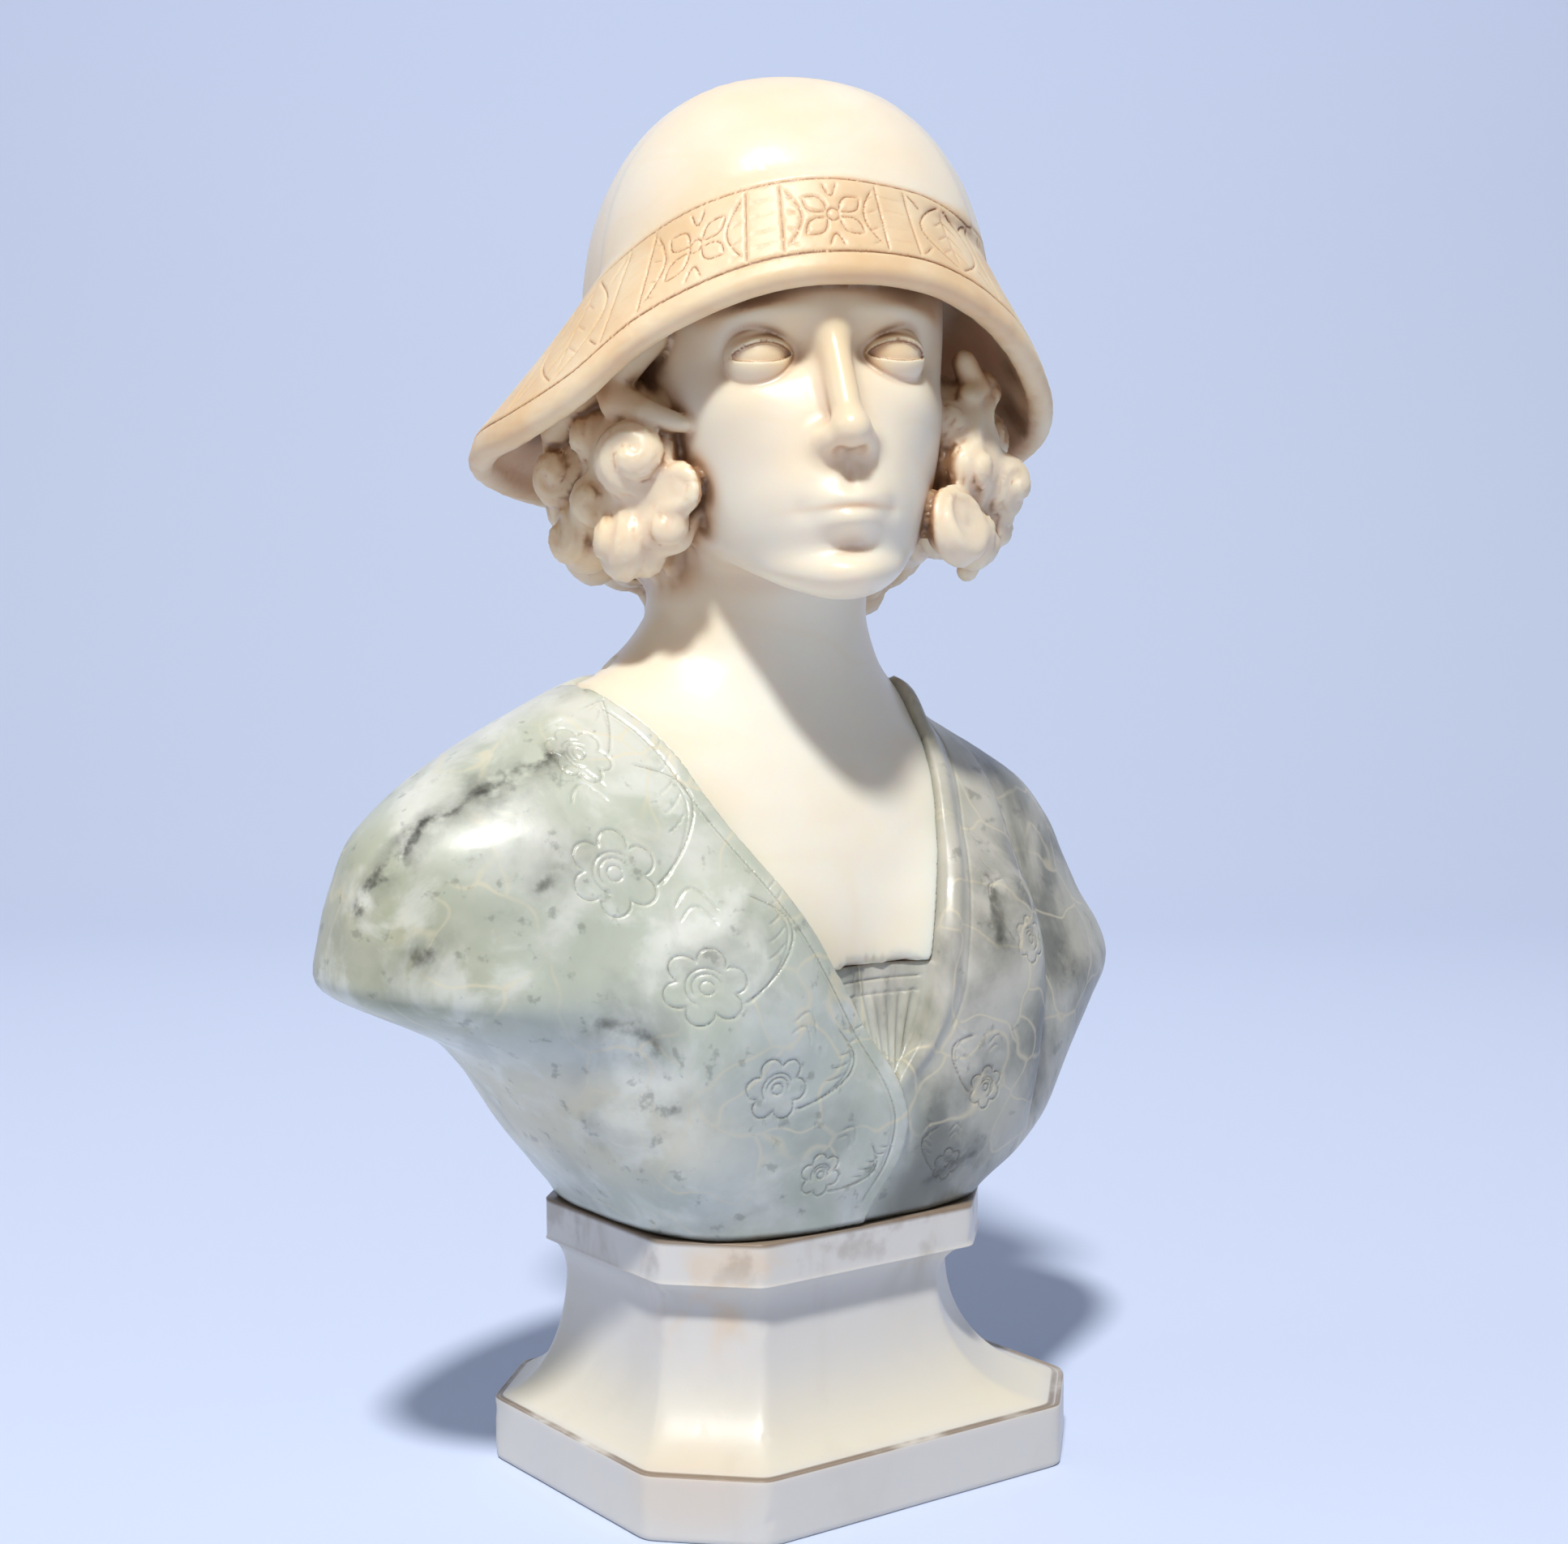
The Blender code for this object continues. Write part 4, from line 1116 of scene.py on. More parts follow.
        if kind is Panel.FLOWER:
            for angle in (0.6, 2.5, 3.75, 5.7):
                du, dv = math.cos(angle), math.sin(angle)
                for bend in (-1, 1):
                    wide = 0.20 * np.sin(math.pi * s) * bend
                    draw(0.15 * du + 0.55 * s * du - wide * dv, 0.15 * dv + 0.78 * s * dv + wide * du)
            ring = np.linspace(0, 2 * math.pi, 16)
            draw(0.12 * np.cos(ring), 0.17 * np.sin(ring))
            for side in (-1, 1):
                draw(side * (0.92 - 0.30 * np.sin(math.pi * s)), -0.8 + 1.6 * s)
                draw(side * 0.30 * (s - 0.5), np.full(14, side * 0.9) - side * 0.35 * np.sin(math.pi * s))
                for tick in (-0.6, -0.2, 0.3, 0.7):
                    draw(side * (0.92 - 0.22 * s), tick + 0.12 * s, 0.003)
        else:
            for side in (-1, 1):
                draw(side * (0.05 + 0.70 * np.sin(math.pi * s)), -0.9 + 1.8 * s)
                draw(side * (0.62 + 0.30 * s), 0.55 + 0.35 * s)
                draw(side * (0.62 + 0.30 * s), -0.55 - 0.35 * s)
            draw(0 * s, -0.7 + 1.4 * s, 0.003)
            for start in (-0.4, 0.0, 0.4):
                for side in (-1, 1):
                    draw(side * 0.36 * s, start - 0.1 + 0.3 * s, 0.003)

    def zone(self, p: Array) -> Array:
        """How amber the stone is: most on the band and some on the curls; painted shade, with some staining,
        in the eye sockets under the brow, the nostrils and the mouth's line.
        """
        q = self.own(p)
        way, reach = self.round_cap(q)
        top, foot = curve(way, self.band_tops), curve(way, self.band_feet)
        below = step(top - q[:, 2], -0.01, 0.01)
        brim = below * step(reach - 0.40, -0.01, 0.02) * step(q[:, 2] - foot, -0.08, -0.05)
        locks = step(-self.hair(q), -0.03, 0.0) * step(-q[:, 2], -0.15, 0.0)
        u, z = np.abs(q[:, 0]), q[:, 2]
        # Painted shade, with some staining, in the eye sockets, the nostrils and the line of the mouth.
        sockets = bump(u, z, (0.125, 0.015), (0.055, 0.030)) + 0.6 * bump(u, z, (0.03, -0.205), (0.03, 0.02))
        sockets = sockets + 0.8 * bump(u, z, (0.0, self.mouth), (0.09, 0.006))
        throat = step(z, -0.55, -0.2)
        return np.clip(0.9 * brim + 0.45 * locks + 0.18 * throat + 0.9 * sockets * (q[:, 1] < -0.28), 0, 1)


@dataclass
class Plinth:
    """The slab with cut corners, its concave rise and the top band, made by geometry nodes."""

    name: str = "plinth"
    width: float = 0.176
    depth: float = 0.148
    height: float = 0.0890
    slab_corner: float = 0.0275
    slab_height: float = 0.0210
    groove: float = 0.0014
    top_width: float = 0.1330
    top_depth: float = 0.1170
    top_corner: float = 0.0240
    top_band: float = 0.0140
    top_shift: Spot = (-0.0070, 0.0015)
    waist_inset: float = 0.0080
    waist_height: float = 0.0640
    sharpness: float = 95.0
    chip_scale: float = 95.0
    chip_depth: float = 0.0007
    swell_scale: float = 22.0
    swell_depth: float = 0.0004
    columns: int = 641
    rows: int = 121

    def levels(self) -> list[Place]:
        """The outline, from the underside's middle up to the top's middle.

        Returns:
            (height, share of the way from the slab's plan to the top's, reach from the middle) rows.
        """
        flare = (self.width - self.top_width) / 2
        ledge = self.groove / flare
        waist = 1 + self.waist_inset / flare
        foot = self.height - self.top_band
        rise = [(0.0, 0.0), (self.slab_height - 0.0009, 0.0), (self.slab_height - 0.0003, 0.12 * ledge),
                (self.slab_height, 0.42 * ledge), (self.slab_height - 0.0001, 0.75 * ledge),
                (self.slab_height - 0.0007, ledge)]
        full = math.radians(82)
        below, above = self.waist_height - self.slab_height, foot - self.waist_height
        for i in range(1, 21):
            angle = full * (1 - i / 20)
            share = waist - (waist - ledge) * (1 - math.cos(angle)) / (1 - math.cos(full))
            rise.append((self.waist_height - below * math.sin(angle) / math.sin(full), share))
        for i in range(1, 9):
            angle = math.radians(10 * i)
            share = waist - (waist - 1) * (1 - math.cos(angle))
            rise.append((self.waist_height + above * math.sin(angle), share))
        rise += [(foot + 0.0002, 0.97), (foot + 0.0006, 1.0)]
        rise += [(self.height - 0.0006, 1.0), (self.height, 0.985)]
        outline = [(0.0, 0.0, 0.0), (0.0, 0.0, 0.985)] + [(height, share, 1.0) for height, share in rise]
        return outline + [(self.height, 0.985, 0.985), (self.height, 0.985, 0.0)]

    def tree(self) -> bpy.types.NodeTree:
        """Builds the node tree: a grid wound round the plinth, each row at its own height and plan."""
        tree = bpy.data.node_groups.new("canted_plinth", "GeometryNodeTree")
        tree.interface.new_socket("Geometry", in_out="OUTPUT", socket_type="NodeSocketGeometry")
        for title, default in self.sizes().items():
            socket = tree.interface.new_socket(title, in_out="INPUT", socket_type="NodeSocketFloat")
            socket.default_value = default
        tree.interface.new_socket("Stone", in_out="INPUT", socket_type="NodeSocketMaterial")
        net = Tree(tree)
        given = net.node("NodeGroupInput").outputs
        grid = net.node("GeometryNodeMeshGrid")
        net.feed(grid, "Vertices X", self.columns)
        net.feed(grid, "Vertices Y", self.rows)
        index = net.node("GeometryNodeInputIndex").outputs[0]
        along = net.maths("DIVIDE", net.maths("MODULO", index, float(self.rows)), float(self.rows - 1))
        turn = net.maths("FLOOR", net.maths("DIVIDE", net.plus(index, 0.5), float(self.rows)))
        turn = net.times(turn, 2 * math.pi / (self.columns - 1))
        outline = np.array(self.levels())
        run = np.linalg.norm(np.diff(outline * [1 / 0.08, 0.3, 0.12], axis=0), axis=1) + 0.008
        run = np.concatenate([[0], np.cumsum(run)]) / run.sum()
        height = net.times(net.profile(along, run, outline[:, 0] / self.height), given["Height"])
        share, reach = (net.profile(along, run, outline[:, i]) for i in (1, 2))
        half = {}
        for axis in ("Width", "Depth", "Corner"):
            growth = net.maths("SUBTRACT", given[f"Top {axis}"], given[f"Slab {axis}"])
            half[axis] = net.maths("MULTIPLY_ADD", growth, share, given[f"Slab {axis}"])
        cos, sin = net.maths("COSINE", turn), net.maths("SINE", turn)
        across, deep = net.maths("ABSOLUTE", cos), net.maths("ABSOLUTE", sin)
        corner = net.maths("SUBTRACT", net.times(net.plus(half["Width"], half["Depth"]), 0.5), half["Corner"])
        sides = [
            net.maths("DIVIDE", across, net.times(half["Width"], 0.5)),
            net.maths("DIVIDE", deep, net.times(half["Depth"], 0.5)),
            net.maths("DIVIDE", net.plus(across, deep), corner),
        ]
        most = net.maths("MAXIMUM", net.maths("MAXIMUM", sides[0], sides[1]), sides[2])
        shares = [net.maths("DIVIDE", side, most) for side in sides]
        soft = net.plus(*(net.maths("POWER", part, given["Sharpness"]) for part in shares))
        inverse = net.maths("DIVIDE", -1.0, given["Sharpness"])
        radius = net.maths("DIVIDE", net.maths("POWER", soft, inverse), most)
        plain = net.times(radius, reach)
        spot = net.vector(net.times(plain, cos), net.times(plain, sin), height)
        chip = net.smooth(net.cloud(spot, self.chip_scale, 3.0), 0.56, 0.70)
        chip = net.times(chip, net.plus(net.times(net.maths("SUBTRACT", soft, 1.0), 0.9), 0.12))
        swell = net.cloud(spot, self.swell_scale, 2.0)
        loss = net.plus(net.times(chip, self.chip_depth), net.times(swell, self.swell_depth))
        worn = net.times(net.maths("SUBTRACT", radius, loss), reach)
        x = net.maths("MULTIPLY_ADD", worn, cos, net.times(share, given["Shift X"]))
        y = net.maths("MULTIPLY_ADD", worn, sin, net.times(share, given["Shift Y"]))
        shape = grid.outputs["Mesh"]
        for kind, inputs in (
            ("SetPosition", {"Position": net.vector(x, y, height)}),
            ("MergeByDistance", {"Distance": 0.00001}),
            ("SetShadeSmooth", {}),
            ("RealizeInstances", {}),
            ("SetMaterial", {"Material": given["Stone"]}),
        ):
            node = net.node("GeometryNode" + kind)
            net.feed(node, "Geometry", shape)
            for socket, value in inputs.items():
                net.feed(node, socket, value)
            shape = node.outputs[0]
        net.feed(net.node("NodeGroupOutput"), 0, shape)
        return tree

    def sizes(self) -> dict[str, float]:
        """The tree's named inputs."""
        return {
            "Slab Width": self.width, "Slab Depth": self.depth, "Slab Corner": self.slab_corner,
            "Top Width": self.top_width, "Top Depth": self.top_depth, "Top Corner": self.top_corner,
            "Height": self.height, "Shift X": self.top_shift[0], "Shift Y": self.top_shift[1],
            "Sharpness": self.sharpness,
        }

    def build(self, stone: bpy.types.Material) -> bpy.types.Object:
        """Makes the plinth's mesh from its tree.

        Args:
            stone: its material.

        Returns:
            The new object.
        """
        mesh = bpy.data.meshes.new("plinth_seed")
        seed = bpy.data.objects.new("plinth_seed", mesh)
        bpy.context.scene.collection.objects.link(seed)
        modifier = seed.modifiers.new("canted_plinth", "NODES")
        tree = self.tree()
        modifier.node_group = tree
        values = {**self.sizes(), "Stone": stone}
        for item in tree.interface.items_tree:
            if item.in_out == "INPUT":
                modifier[item.identifier] = values[item.name]
        baked = bpy.data.meshes.new_from_object(seed.evaluated_get(bpy.context.evaluated_depsgraph_get()))
        baked.name = self.name + "_carved"
        bpy.data.objects.remove(seed)
        low, high = (np.array(corner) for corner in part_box(self.name))
        points = np.empty(len(baked.vertices) * 3, np.float32)
        baked.vertices.foreach_get("co", points)
        baked.vertices.foreach_set("co", np.clip(points.reshape(-1, 3), low, high).astype(np.float32).ravel())
        piece = bpy.data.objects.new(self.name + "_carved", baked)
        bpy.context.scene.collection.objects.link(piece)
        log.info("%s: %d faces", self.name, len(baked.polygons))
        return piece


class Tree:
    """A short way to wire a node tree in code."""

    def __init__(self, tree: bpy.types.NodeTree) -> None:
        """Keeps the tree that the calls add to."""
        self.tree = tree

    def node(self, kind: str, **settings: object) -> bpy.types.Node:
        """Adds a node.

        Args:
            kind: the node's type.
            settings: its properties.

        Returns:
            The node.
        """
        node = self.tree.nodes.new(kind)
        for name, value in settings.items():
            setattr(node, name, value)
        return node

    def feed(self, node: bpy.types.Node, socket: int | str, value: object) -> None:
        """Sets an input, or links another node's output to it."""
        if isinstance(value, bpy.types.NodeSocket):
            self.tree.links.new(value, node.inputs[socket])
        else:
            node.inputs[socket].default_value = value

    def maths(self, operation: str, *values: object) -> bpy.types.NodeSocket:
        """Adds a sum on numbers and gives its output."""
        node = self.node("ShaderNodeMath", operation=operation)
        for i, value in enumerate(values):
            self.feed(node, i, value)
        return node.outputs[0]

    def times(self, *values: object) -> bpy.types.NodeSocket:
        """Multiplies several values."""
        return reduce(lambda total, value: self.maths("MULTIPLY", total, value), values)

    def plus(self, *values: object) -> bpy.types.NodeSocket:
        """Adds several values."""
        return reduce(lambda total, value: self.maths("ADD", total, value), values)

    def vector(self, x: object, y: object, z: object) -> bpy.types.NodeSocket:
        """Joins three numbers into a vector."""
        node = self.node("ShaderNodeCombineXYZ")
        for i, value in enumerate((x, y, z)):
            self.feed(node, i, value)
        return node.outputs[0]

    def cloud(self, at: object, scale: float, detail: float) -> bpy.types.NodeSocket:
        """Reads a cloudy value about 0.5 at a place."""
        node = self.node("ShaderNodeTexNoise")
        for socket, value in (("Vector", at), ("Scale", scale), ("Detail", detail)):
            self.feed(node, socket, value)
        return node.outputs["Fac"]

    def smooth(self, value: object, low: float, high: float) -> bpy.types.NodeSocket:
        """Rises smoothly from 0 at low to 1 at high."""
        node = self.node("ShaderNodeMapRange", interpolation_type="SMOOTHSTEP")
        for socket, amount in (("Value", value), ("From Min", low), ("From Max", high)):
            self.feed(node, socket, amount)
        return node.outputs[0]

    def profile(self, at: bpy.types.NodeSocket, places: Array, values: Array) -> bpy.types.NodeSocket:
        """Reads a polyline of values."""
        node = self.node("ShaderNodeFloatCurve")
        line = node.mapping.curves[0]
        node.mapping.use_clip = False
        while len(line.points) < len(places):
            line.points.new(0.5, 0.5)
        for point, x, y in zip(line.points, places, values):
            point.location = (x, y)
            point.handle_type = "VECTOR"
        node.mapping.update()
        self.feed(node, "Value", at)
        return node.outputs[0]


class Shader(Tree):
    """A material's node tree, with the marks that stone is built from."""

    def __init__(self, name: str) -> None:
        """Starts an empty material with a Principled shader.

        Args:
            name: the material's name.
        """
        self.stone = bpy.data.materials.new(name)
        self.stone.use_nodes = True
        super().__init__(self.stone.node_tree)
        self.surface = self.tree.nodes["Principled BSDF"]
        self.coordinates = self.node("ShaderNodeTexCoord").outputs["Object"]
        split = self.node("ShaderNodeSeparateXYZ")
        self.feed(split, 0, self.coordinates)
        self.x, self.y, self.z = split.outputs
        self.colour: object = None

    def noise(self, scale: float, offset: float = 0.0, detail: float = 4.0, distortion: float = 0.0,
              stretch: Sequence[float] = (1, 1, 1), roughness: float = 0.55) -> bpy.types.NodeSocket:
        """A cloudy value about 0.5.

        Args:
            scale: clouds a metre.
            offset: where in the pattern it is taken, in metres.
            detail: how many finer layers it has.
            distortion: how far it is twisted.
            stretch: its scale along each axis.
            roughness: how strong the finer layers are.

        Returns:
            The value's socket.
        """
        mapping = self.node("ShaderNodeMapping")
        self.feed(mapping, "Vector", self.coordinates)
        mapping.inputs["Location"].default_value = (offset, 0.7 * offset, -offset)
        mapping.inputs["Scale"].default_value = stretch
        node = self.node("ShaderNodeTexNoise")
        self.feed(node, "Vector", mapping.outputs[0])
        for socket, value in (
            ("Scale", scale), ("Detail", detail), ("Distortion", distortion), ("Roughness", roughness),
        ):
            self.feed(node, socket, value)
        return node.outputs["Fac"]

    def vein(self, width: float, **cloud: object) -> bpy.types.NodeSocket:
        """A thin wandering line where a cloudy value crosses its middle."""
        away = self.maths("ABSOLUTE", self.maths("SUBTRACT", self.noise(**cloud), 0.5))
        return self.maths("SUBTRACT", 1.0, self.smooth(away, 0.0, width))

    def near(self, centre: Sequence[float], reach: Sequence[float]) -> bpy.types.NodeSocket:
        """A soft patch: 1 at a place, fading to 0 at a reach along each axis."""
        total = None
        for axis, middle, size in zip((self.x, self.y, self.z), centre, reach):
            away = self.maths("DIVIDE", self.maths("SUBTRACT", axis, middle), size)
            square = self.maths("MULTIPLY", away, away)
            total = square if total is None else self.maths("ADD", total, square)
        return self.maths("SUBTRACT", 1.0, self.smooth(total, 0.0, 1.0))

    def streak(self, start: Place, end: Place, width: float, wander: float) -> bpy.types.NodeSocket:
        """A ragged line through the stone, from one place to another.

        Args:
            start: one end, in metres.
            end: the other end.
            width: half its width at the middle.
            wander: how far it strays from straight.

        Returns:
            The value's socket, 1 in the line.
        """
        along = np.array(end) - np.array(start)
        stray = self.node("ShaderNodeTexNoise")
        self.feed(stray, "Vector", self.coordinates)
        for socket, value in (("Scale", 42.0), ("Detail", 5.0), ("Roughness", 0.62)):
            self.feed(stray, socket, value)
        centred = self.aim("SUBTRACT", stray.outputs["Color"], (0.5, 0.5, 0.5))
        moved = self.aim("MULTIPLY_ADD", centred, (wander,) * 3, self.coordinates)
        away = self.aim("SUBTRACT", moved, tuple(start))
        share = self.aim("DOT_PRODUCT", away, tuple(along / (along @ along)))
        share = self.maths("MINIMUM", self.maths("MAXIMUM", share, 0.0), 1.0)
        nearest = self.node("ShaderNodeVectorMath", operation="SCALE")
        self.feed(nearest, 0, tuple(along))
        self.feed(nearest, "Scale", share)
        reach = self.aim("LENGTH", self.aim("SUBTRACT", away, nearest.outputs[0]))
        return self.maths("SUBTRACT", 1.0, self.smooth(reach, 0.0, width))

    def aim(self, operation: str, *values: object) -> bpy.types.NodeSocket:
        """Adds a sum on vectors and gives its output."""
        node = self.node("ShaderNodeVectorMath", operation=operation)
        for i, value in enumerate(values):
            self.feed(node, i, value)
        return node.outputs["Value" if operation in ("DOT_PRODUCT", "LENGTH") else "Vector"]

    def crazing(self, scale: float, width: float, twist: float) -> bpy.types.NodeSocket:
        """A net of thin lines between irregular cells."""
        stray = self.node("ShaderNodeTexNoise")
        self.feed(stray, "Vector", self.coordinates)
        self.feed(stray, "Scale", scale * 0.8)
        moved = self.aim("MULTIPLY_ADD", stray.outputs["Color"], (twist,) * 3, self.coordinates)
        cells = self.node("ShaderNodeTexVoronoi", feature="DISTANCE_TO_EDGE")
        self.feed(cells, "Vector", moved)
        self.feed(cells, "Scale", scale)
        return self.maths("SUBTRACT", 1.0, self.smooth(cells.outputs["Distance"], 0.0, width))

    def mark(self, name: str) -> bpy.types.NodeSocket:
        """Reads one of the piece's own point attributes."""
        node = self.node("ShaderNodeAttribute", attribute_name=name)
        return node.outputs["Fac"]

    def mix(self, share: object, under: object, over: object) -> bpy.types.NodeSocket:
        """Lays one colour over another."""
        node = self.node("ShaderNodeMix", data_type="RGBA")
        self.feed(node, 0, share)
        self.feed(node, 6, under)
        self.feed(node, 7, over)
        return node.outputs[2]

    def lay(self, over: object, share: object, *where: object) -> None:
        """Lays a colour over the stone.

        Args:
            over: the colour.
            share: how much of it shows at the most.
            where: values that are high where it shows.
        """
        self.colour = self.mix(self.times(*where, share), self.colour, over)

    def finish(
        self, polish: object, glow: float, depth: float, grain: object, height: float
    ) -> bpy.types.Material:
        """Sets the surface.

        Args:
            polish: the stone's roughness.
            glow: how much of the light goes through it.
            depth: how far the light goes, in metres.
            grain: a value that raises the surface slightly.
            height: how much it is raised, in metres.

        Returns:
            The material.
        """
        for socket, value in (
            ("Base Color", self.colour), ("Roughness", polish), ("Subsurface Weight", glow),
            ("Subsurface Radius", (1.0, 0.62, 0.38)), ("Subsurface Scale", depth), ("IOR", 1.5),
        ):
            self.feed(self.surface, socket, value)
        raised = self.node("ShaderNodeBump")
        for socket, value in (("Height", grain), ("Distance", height), ("Strength", 1.0)):
            self.feed(raised, socket, value)
        self.feed(self.surface, "Normal", raised.outputs[0])
        return self.stone


def linear(red: int, green: int, blue: int) -> Colour:
    """A screen colour as the linear one that nodes take."""
    parts = (part / 255 for part in (red, green, blue))
    return (*(part / 12.92 if part < 0.0405 else ((part + 0.055) / 1.055) ** 2.4 for part in parts), 1.0)


@dataclass(frozen=True)
class CreamAlabaster:
    """The head's stone: milky cream, amber in the band, painted amber shade in the eye sockets, nostrils and
    mouth's line, and painted warm and brown shade in the hollows over brown staining in the cuts.
    """

    milk: Colour = linear(240, 233, 217)
    honey: Colour = linear(236, 214, 178)
    amber: Colour = linear(224, 188, 142)
    brown_shade_and_dirt: Colour = linear(128, 84, 48)
    warm_shade_and_dirt: Colour = linear(206, 160, 116)

    def material(self) -> bpy.types.Material:
        """Builds the material."""
        net = Shader("head_stone")
        net.colour = self.milk
        net.lay(self.honey, 1.0, net.smooth(net.noise(9, 1.3, 3), 0.42, 0.72))
        streak = net.vein(0.03, scale=8, offset=4.1, detail=2, distortion=0.5, stretch=(1, 1, 2.2))
        net.lay(self.honey, 0.12, streak)
        zone, hollow_shade_and_cut_dirt = net.mark("zone"), net.mark("hollow_shade_and_cut_dirt")
        amber = net.mix(net.smooth(net.noise(38, 2.0, 4), 0.25, 0.75), self.amber, self.honey)
        # The zone mark is the band's and curls' amber, and painted shade in the eye sockets, nostrils and
        # mouth's line.
        net.lay(amber, 0.85, zone)
        # Painted warm shade, then darker painted shade, in the hollows; in the chisel cuts the same brown is
        # staining.
        net.lay(self.warm_shade_and_dirt, 0.60, net.smooth(hollow_shade_and_cut_dirt, 0.20, 0.75))
        net.lay(self.brown_shade_and_dirt, 0.80, net.smooth(hollow_shade_and_cut_dirt, 0.50, 1.0))
        polish = net.plus(0.30, net.times(zone, 0.15))
        return net.finish(polish, 0.60, 0.009, net.noise(160, 5.0, 3), 0.00008)


@dataclass(frozen=True)
class VeinedAlabaster:
    """The torso's stone: pale green-grey with blue clouds, cream veins and dark cracks."""

    pale: Colour = linear(214, 215, 204)
    green: Colour = linear(190, 195, 178)
    blue: Colour = linear(186, 193, 189)
    cream: Colour = linear(224, 212, 180)
    olive: Colour = linear(150, 150, 112)
    taupe: Colour = linear(176, 168, 154)
    slate: Colour = linear(104, 106, 98)
    crack: Colour = linear(62, 62, 54)
    brown_shade_and_dirt: Colour = linear(112, 92, 60)
    white: Colour = linear(228, 229, 220)
    ash: Colour = linear(152, 155, 145)
    # A crack in each row: start, end, half its width and how dark it is.
    streaks: tuple[tuple[Place, Place, float, float], ...] = (
        ((-0.097, -0.017, 0.243), (-0.123, -0.014, 0.232), 0.0036, 0.9),
        ((-0.123, -0.014, 0.232), (-0.147, -0.009, 0.216), 0.0030, 1.0),
        ((-0.147, -0.009, 0.216), (-0.160, 0.000, 0.197), 0.0024, 0.8),
        ((-0.150, -0.020, 0.184), (-0.146, -0.023, 0.186), 0.0040, 0.7),
        ((-0.118, -0.036, 0.201), (-0.110, -0.038, 0.208), 0.0028, 0.6),
        ((-0.102, -0.048, 0.160), (-0.091, -0.054, 0.156), 0.0044, 0.6),
        ((-0.082, -0.054, 0.134), (-0.074, -0.056, 0.138), 0.0030, 0.5),
        ((0.042, -0.060, 0.197), (0.039, -0.069, 0.180), 0.0060, 0.9),
        ((0.082, -0.047, 0.166), (0.088, -0.044, 0.160), 0.0044, 0.8),
        ((0.016, -0.060, 0.102), (0.032, -0.061, 0.108), 0.0040, 0.6),
        ((0.114, -0.018, 0.196), (0.104, -0.026, 0.205), 0.0060, 0.7),
    )

    def material(self) -> bpy.types.Material:
        """Builds the material."""
        net = Shader("torso_stone")
        net.colour = self.pale
        net.lay(self.green, 1.0, net.smooth(net.noise(24, 0.4, 6, 0.3), 0.40, 0.60))
        low = net.near((-0.06, -0.08, 0.12), (0.13, 0.15, 0.085))
        haze = net.smooth(net.noise(18, 3.1, 6, 0.5), 0.40, 0.62)
        net.lay(self.blue, net.plus(0.1, net.times(low, 0.45)), haze)
        net.lay(self.cream, 0.65, net.near((-0.135, -0.02, 0.125), (0.09, 0.12, 0.032)))
        net.lay(self.olive, 0.55, net.near((-0.165, 0.01, 0.175), (0.05, 0.12, 0.06)))
        net.lay(self.white, 0.55, net.smooth(net.noise(44, 17.0, 6, 0.4), 0.50, 0.66))
        net.lay(self.ash, 0.40, net.smooth(net.noise(30, 21.0, 6, 0.6), 0.52, 0.68))
        # The zone mark greys and darkens the figure's left side: partly the stone's tone, partly painted
        # shade where it turns from the key lamp.
        left = net.mark("zone")
        net.lay(self.taupe, 0.55, left)
        grey = net.smooth(net.noise(20, 8.0, 6, 0.3, (1, 1, 0.7)), 0.47, 0.64)
        net.lay(self.slate, net.plus(0.14, net.times(left, 0.66)), grey)
        net.lay(self.cream, 0.50, net.crazing(34, 0.035, 0.04), net.smooth(net.noise(14, 6.2, 3), 0.42, 0.58))
        patches = net.smooth(net.noise(90, 12.0, 5), 0.34, 0.54)
        for start, end, width, share in self.streaks:
            net.lay(self.slate, 0.55 * share, net.streak(start, end, 3.2 * width, 0.020), patches)
            net.lay(self.crack, share, net.streak(start, end, width, 0.020), patches)
        net.lay(self.slate, 0.4, net.smooth(net.noise(150, 9.0, 5), 0.60, 0.70))
        # Painted shade in the hollows, and staining in the engraved lines of the lapels and flowers.
        net.lay(self.brown_shade_and_dirt, 0.55, net.smooth(net.mark("hollow_shade_and_cut_dirt"), 0.35, 1.0))
        foot = net.smooth(net.z, Plinth.height + 0.0008, Plinth.height + 0.0032)
        net.lay(self.crack, 1.0, net.maths("SUBTRACT", 1.0, foot))
        return net.finish(0.33, 0.35, 0.004, net.noise(140, 5.0, 3), 0.00008)


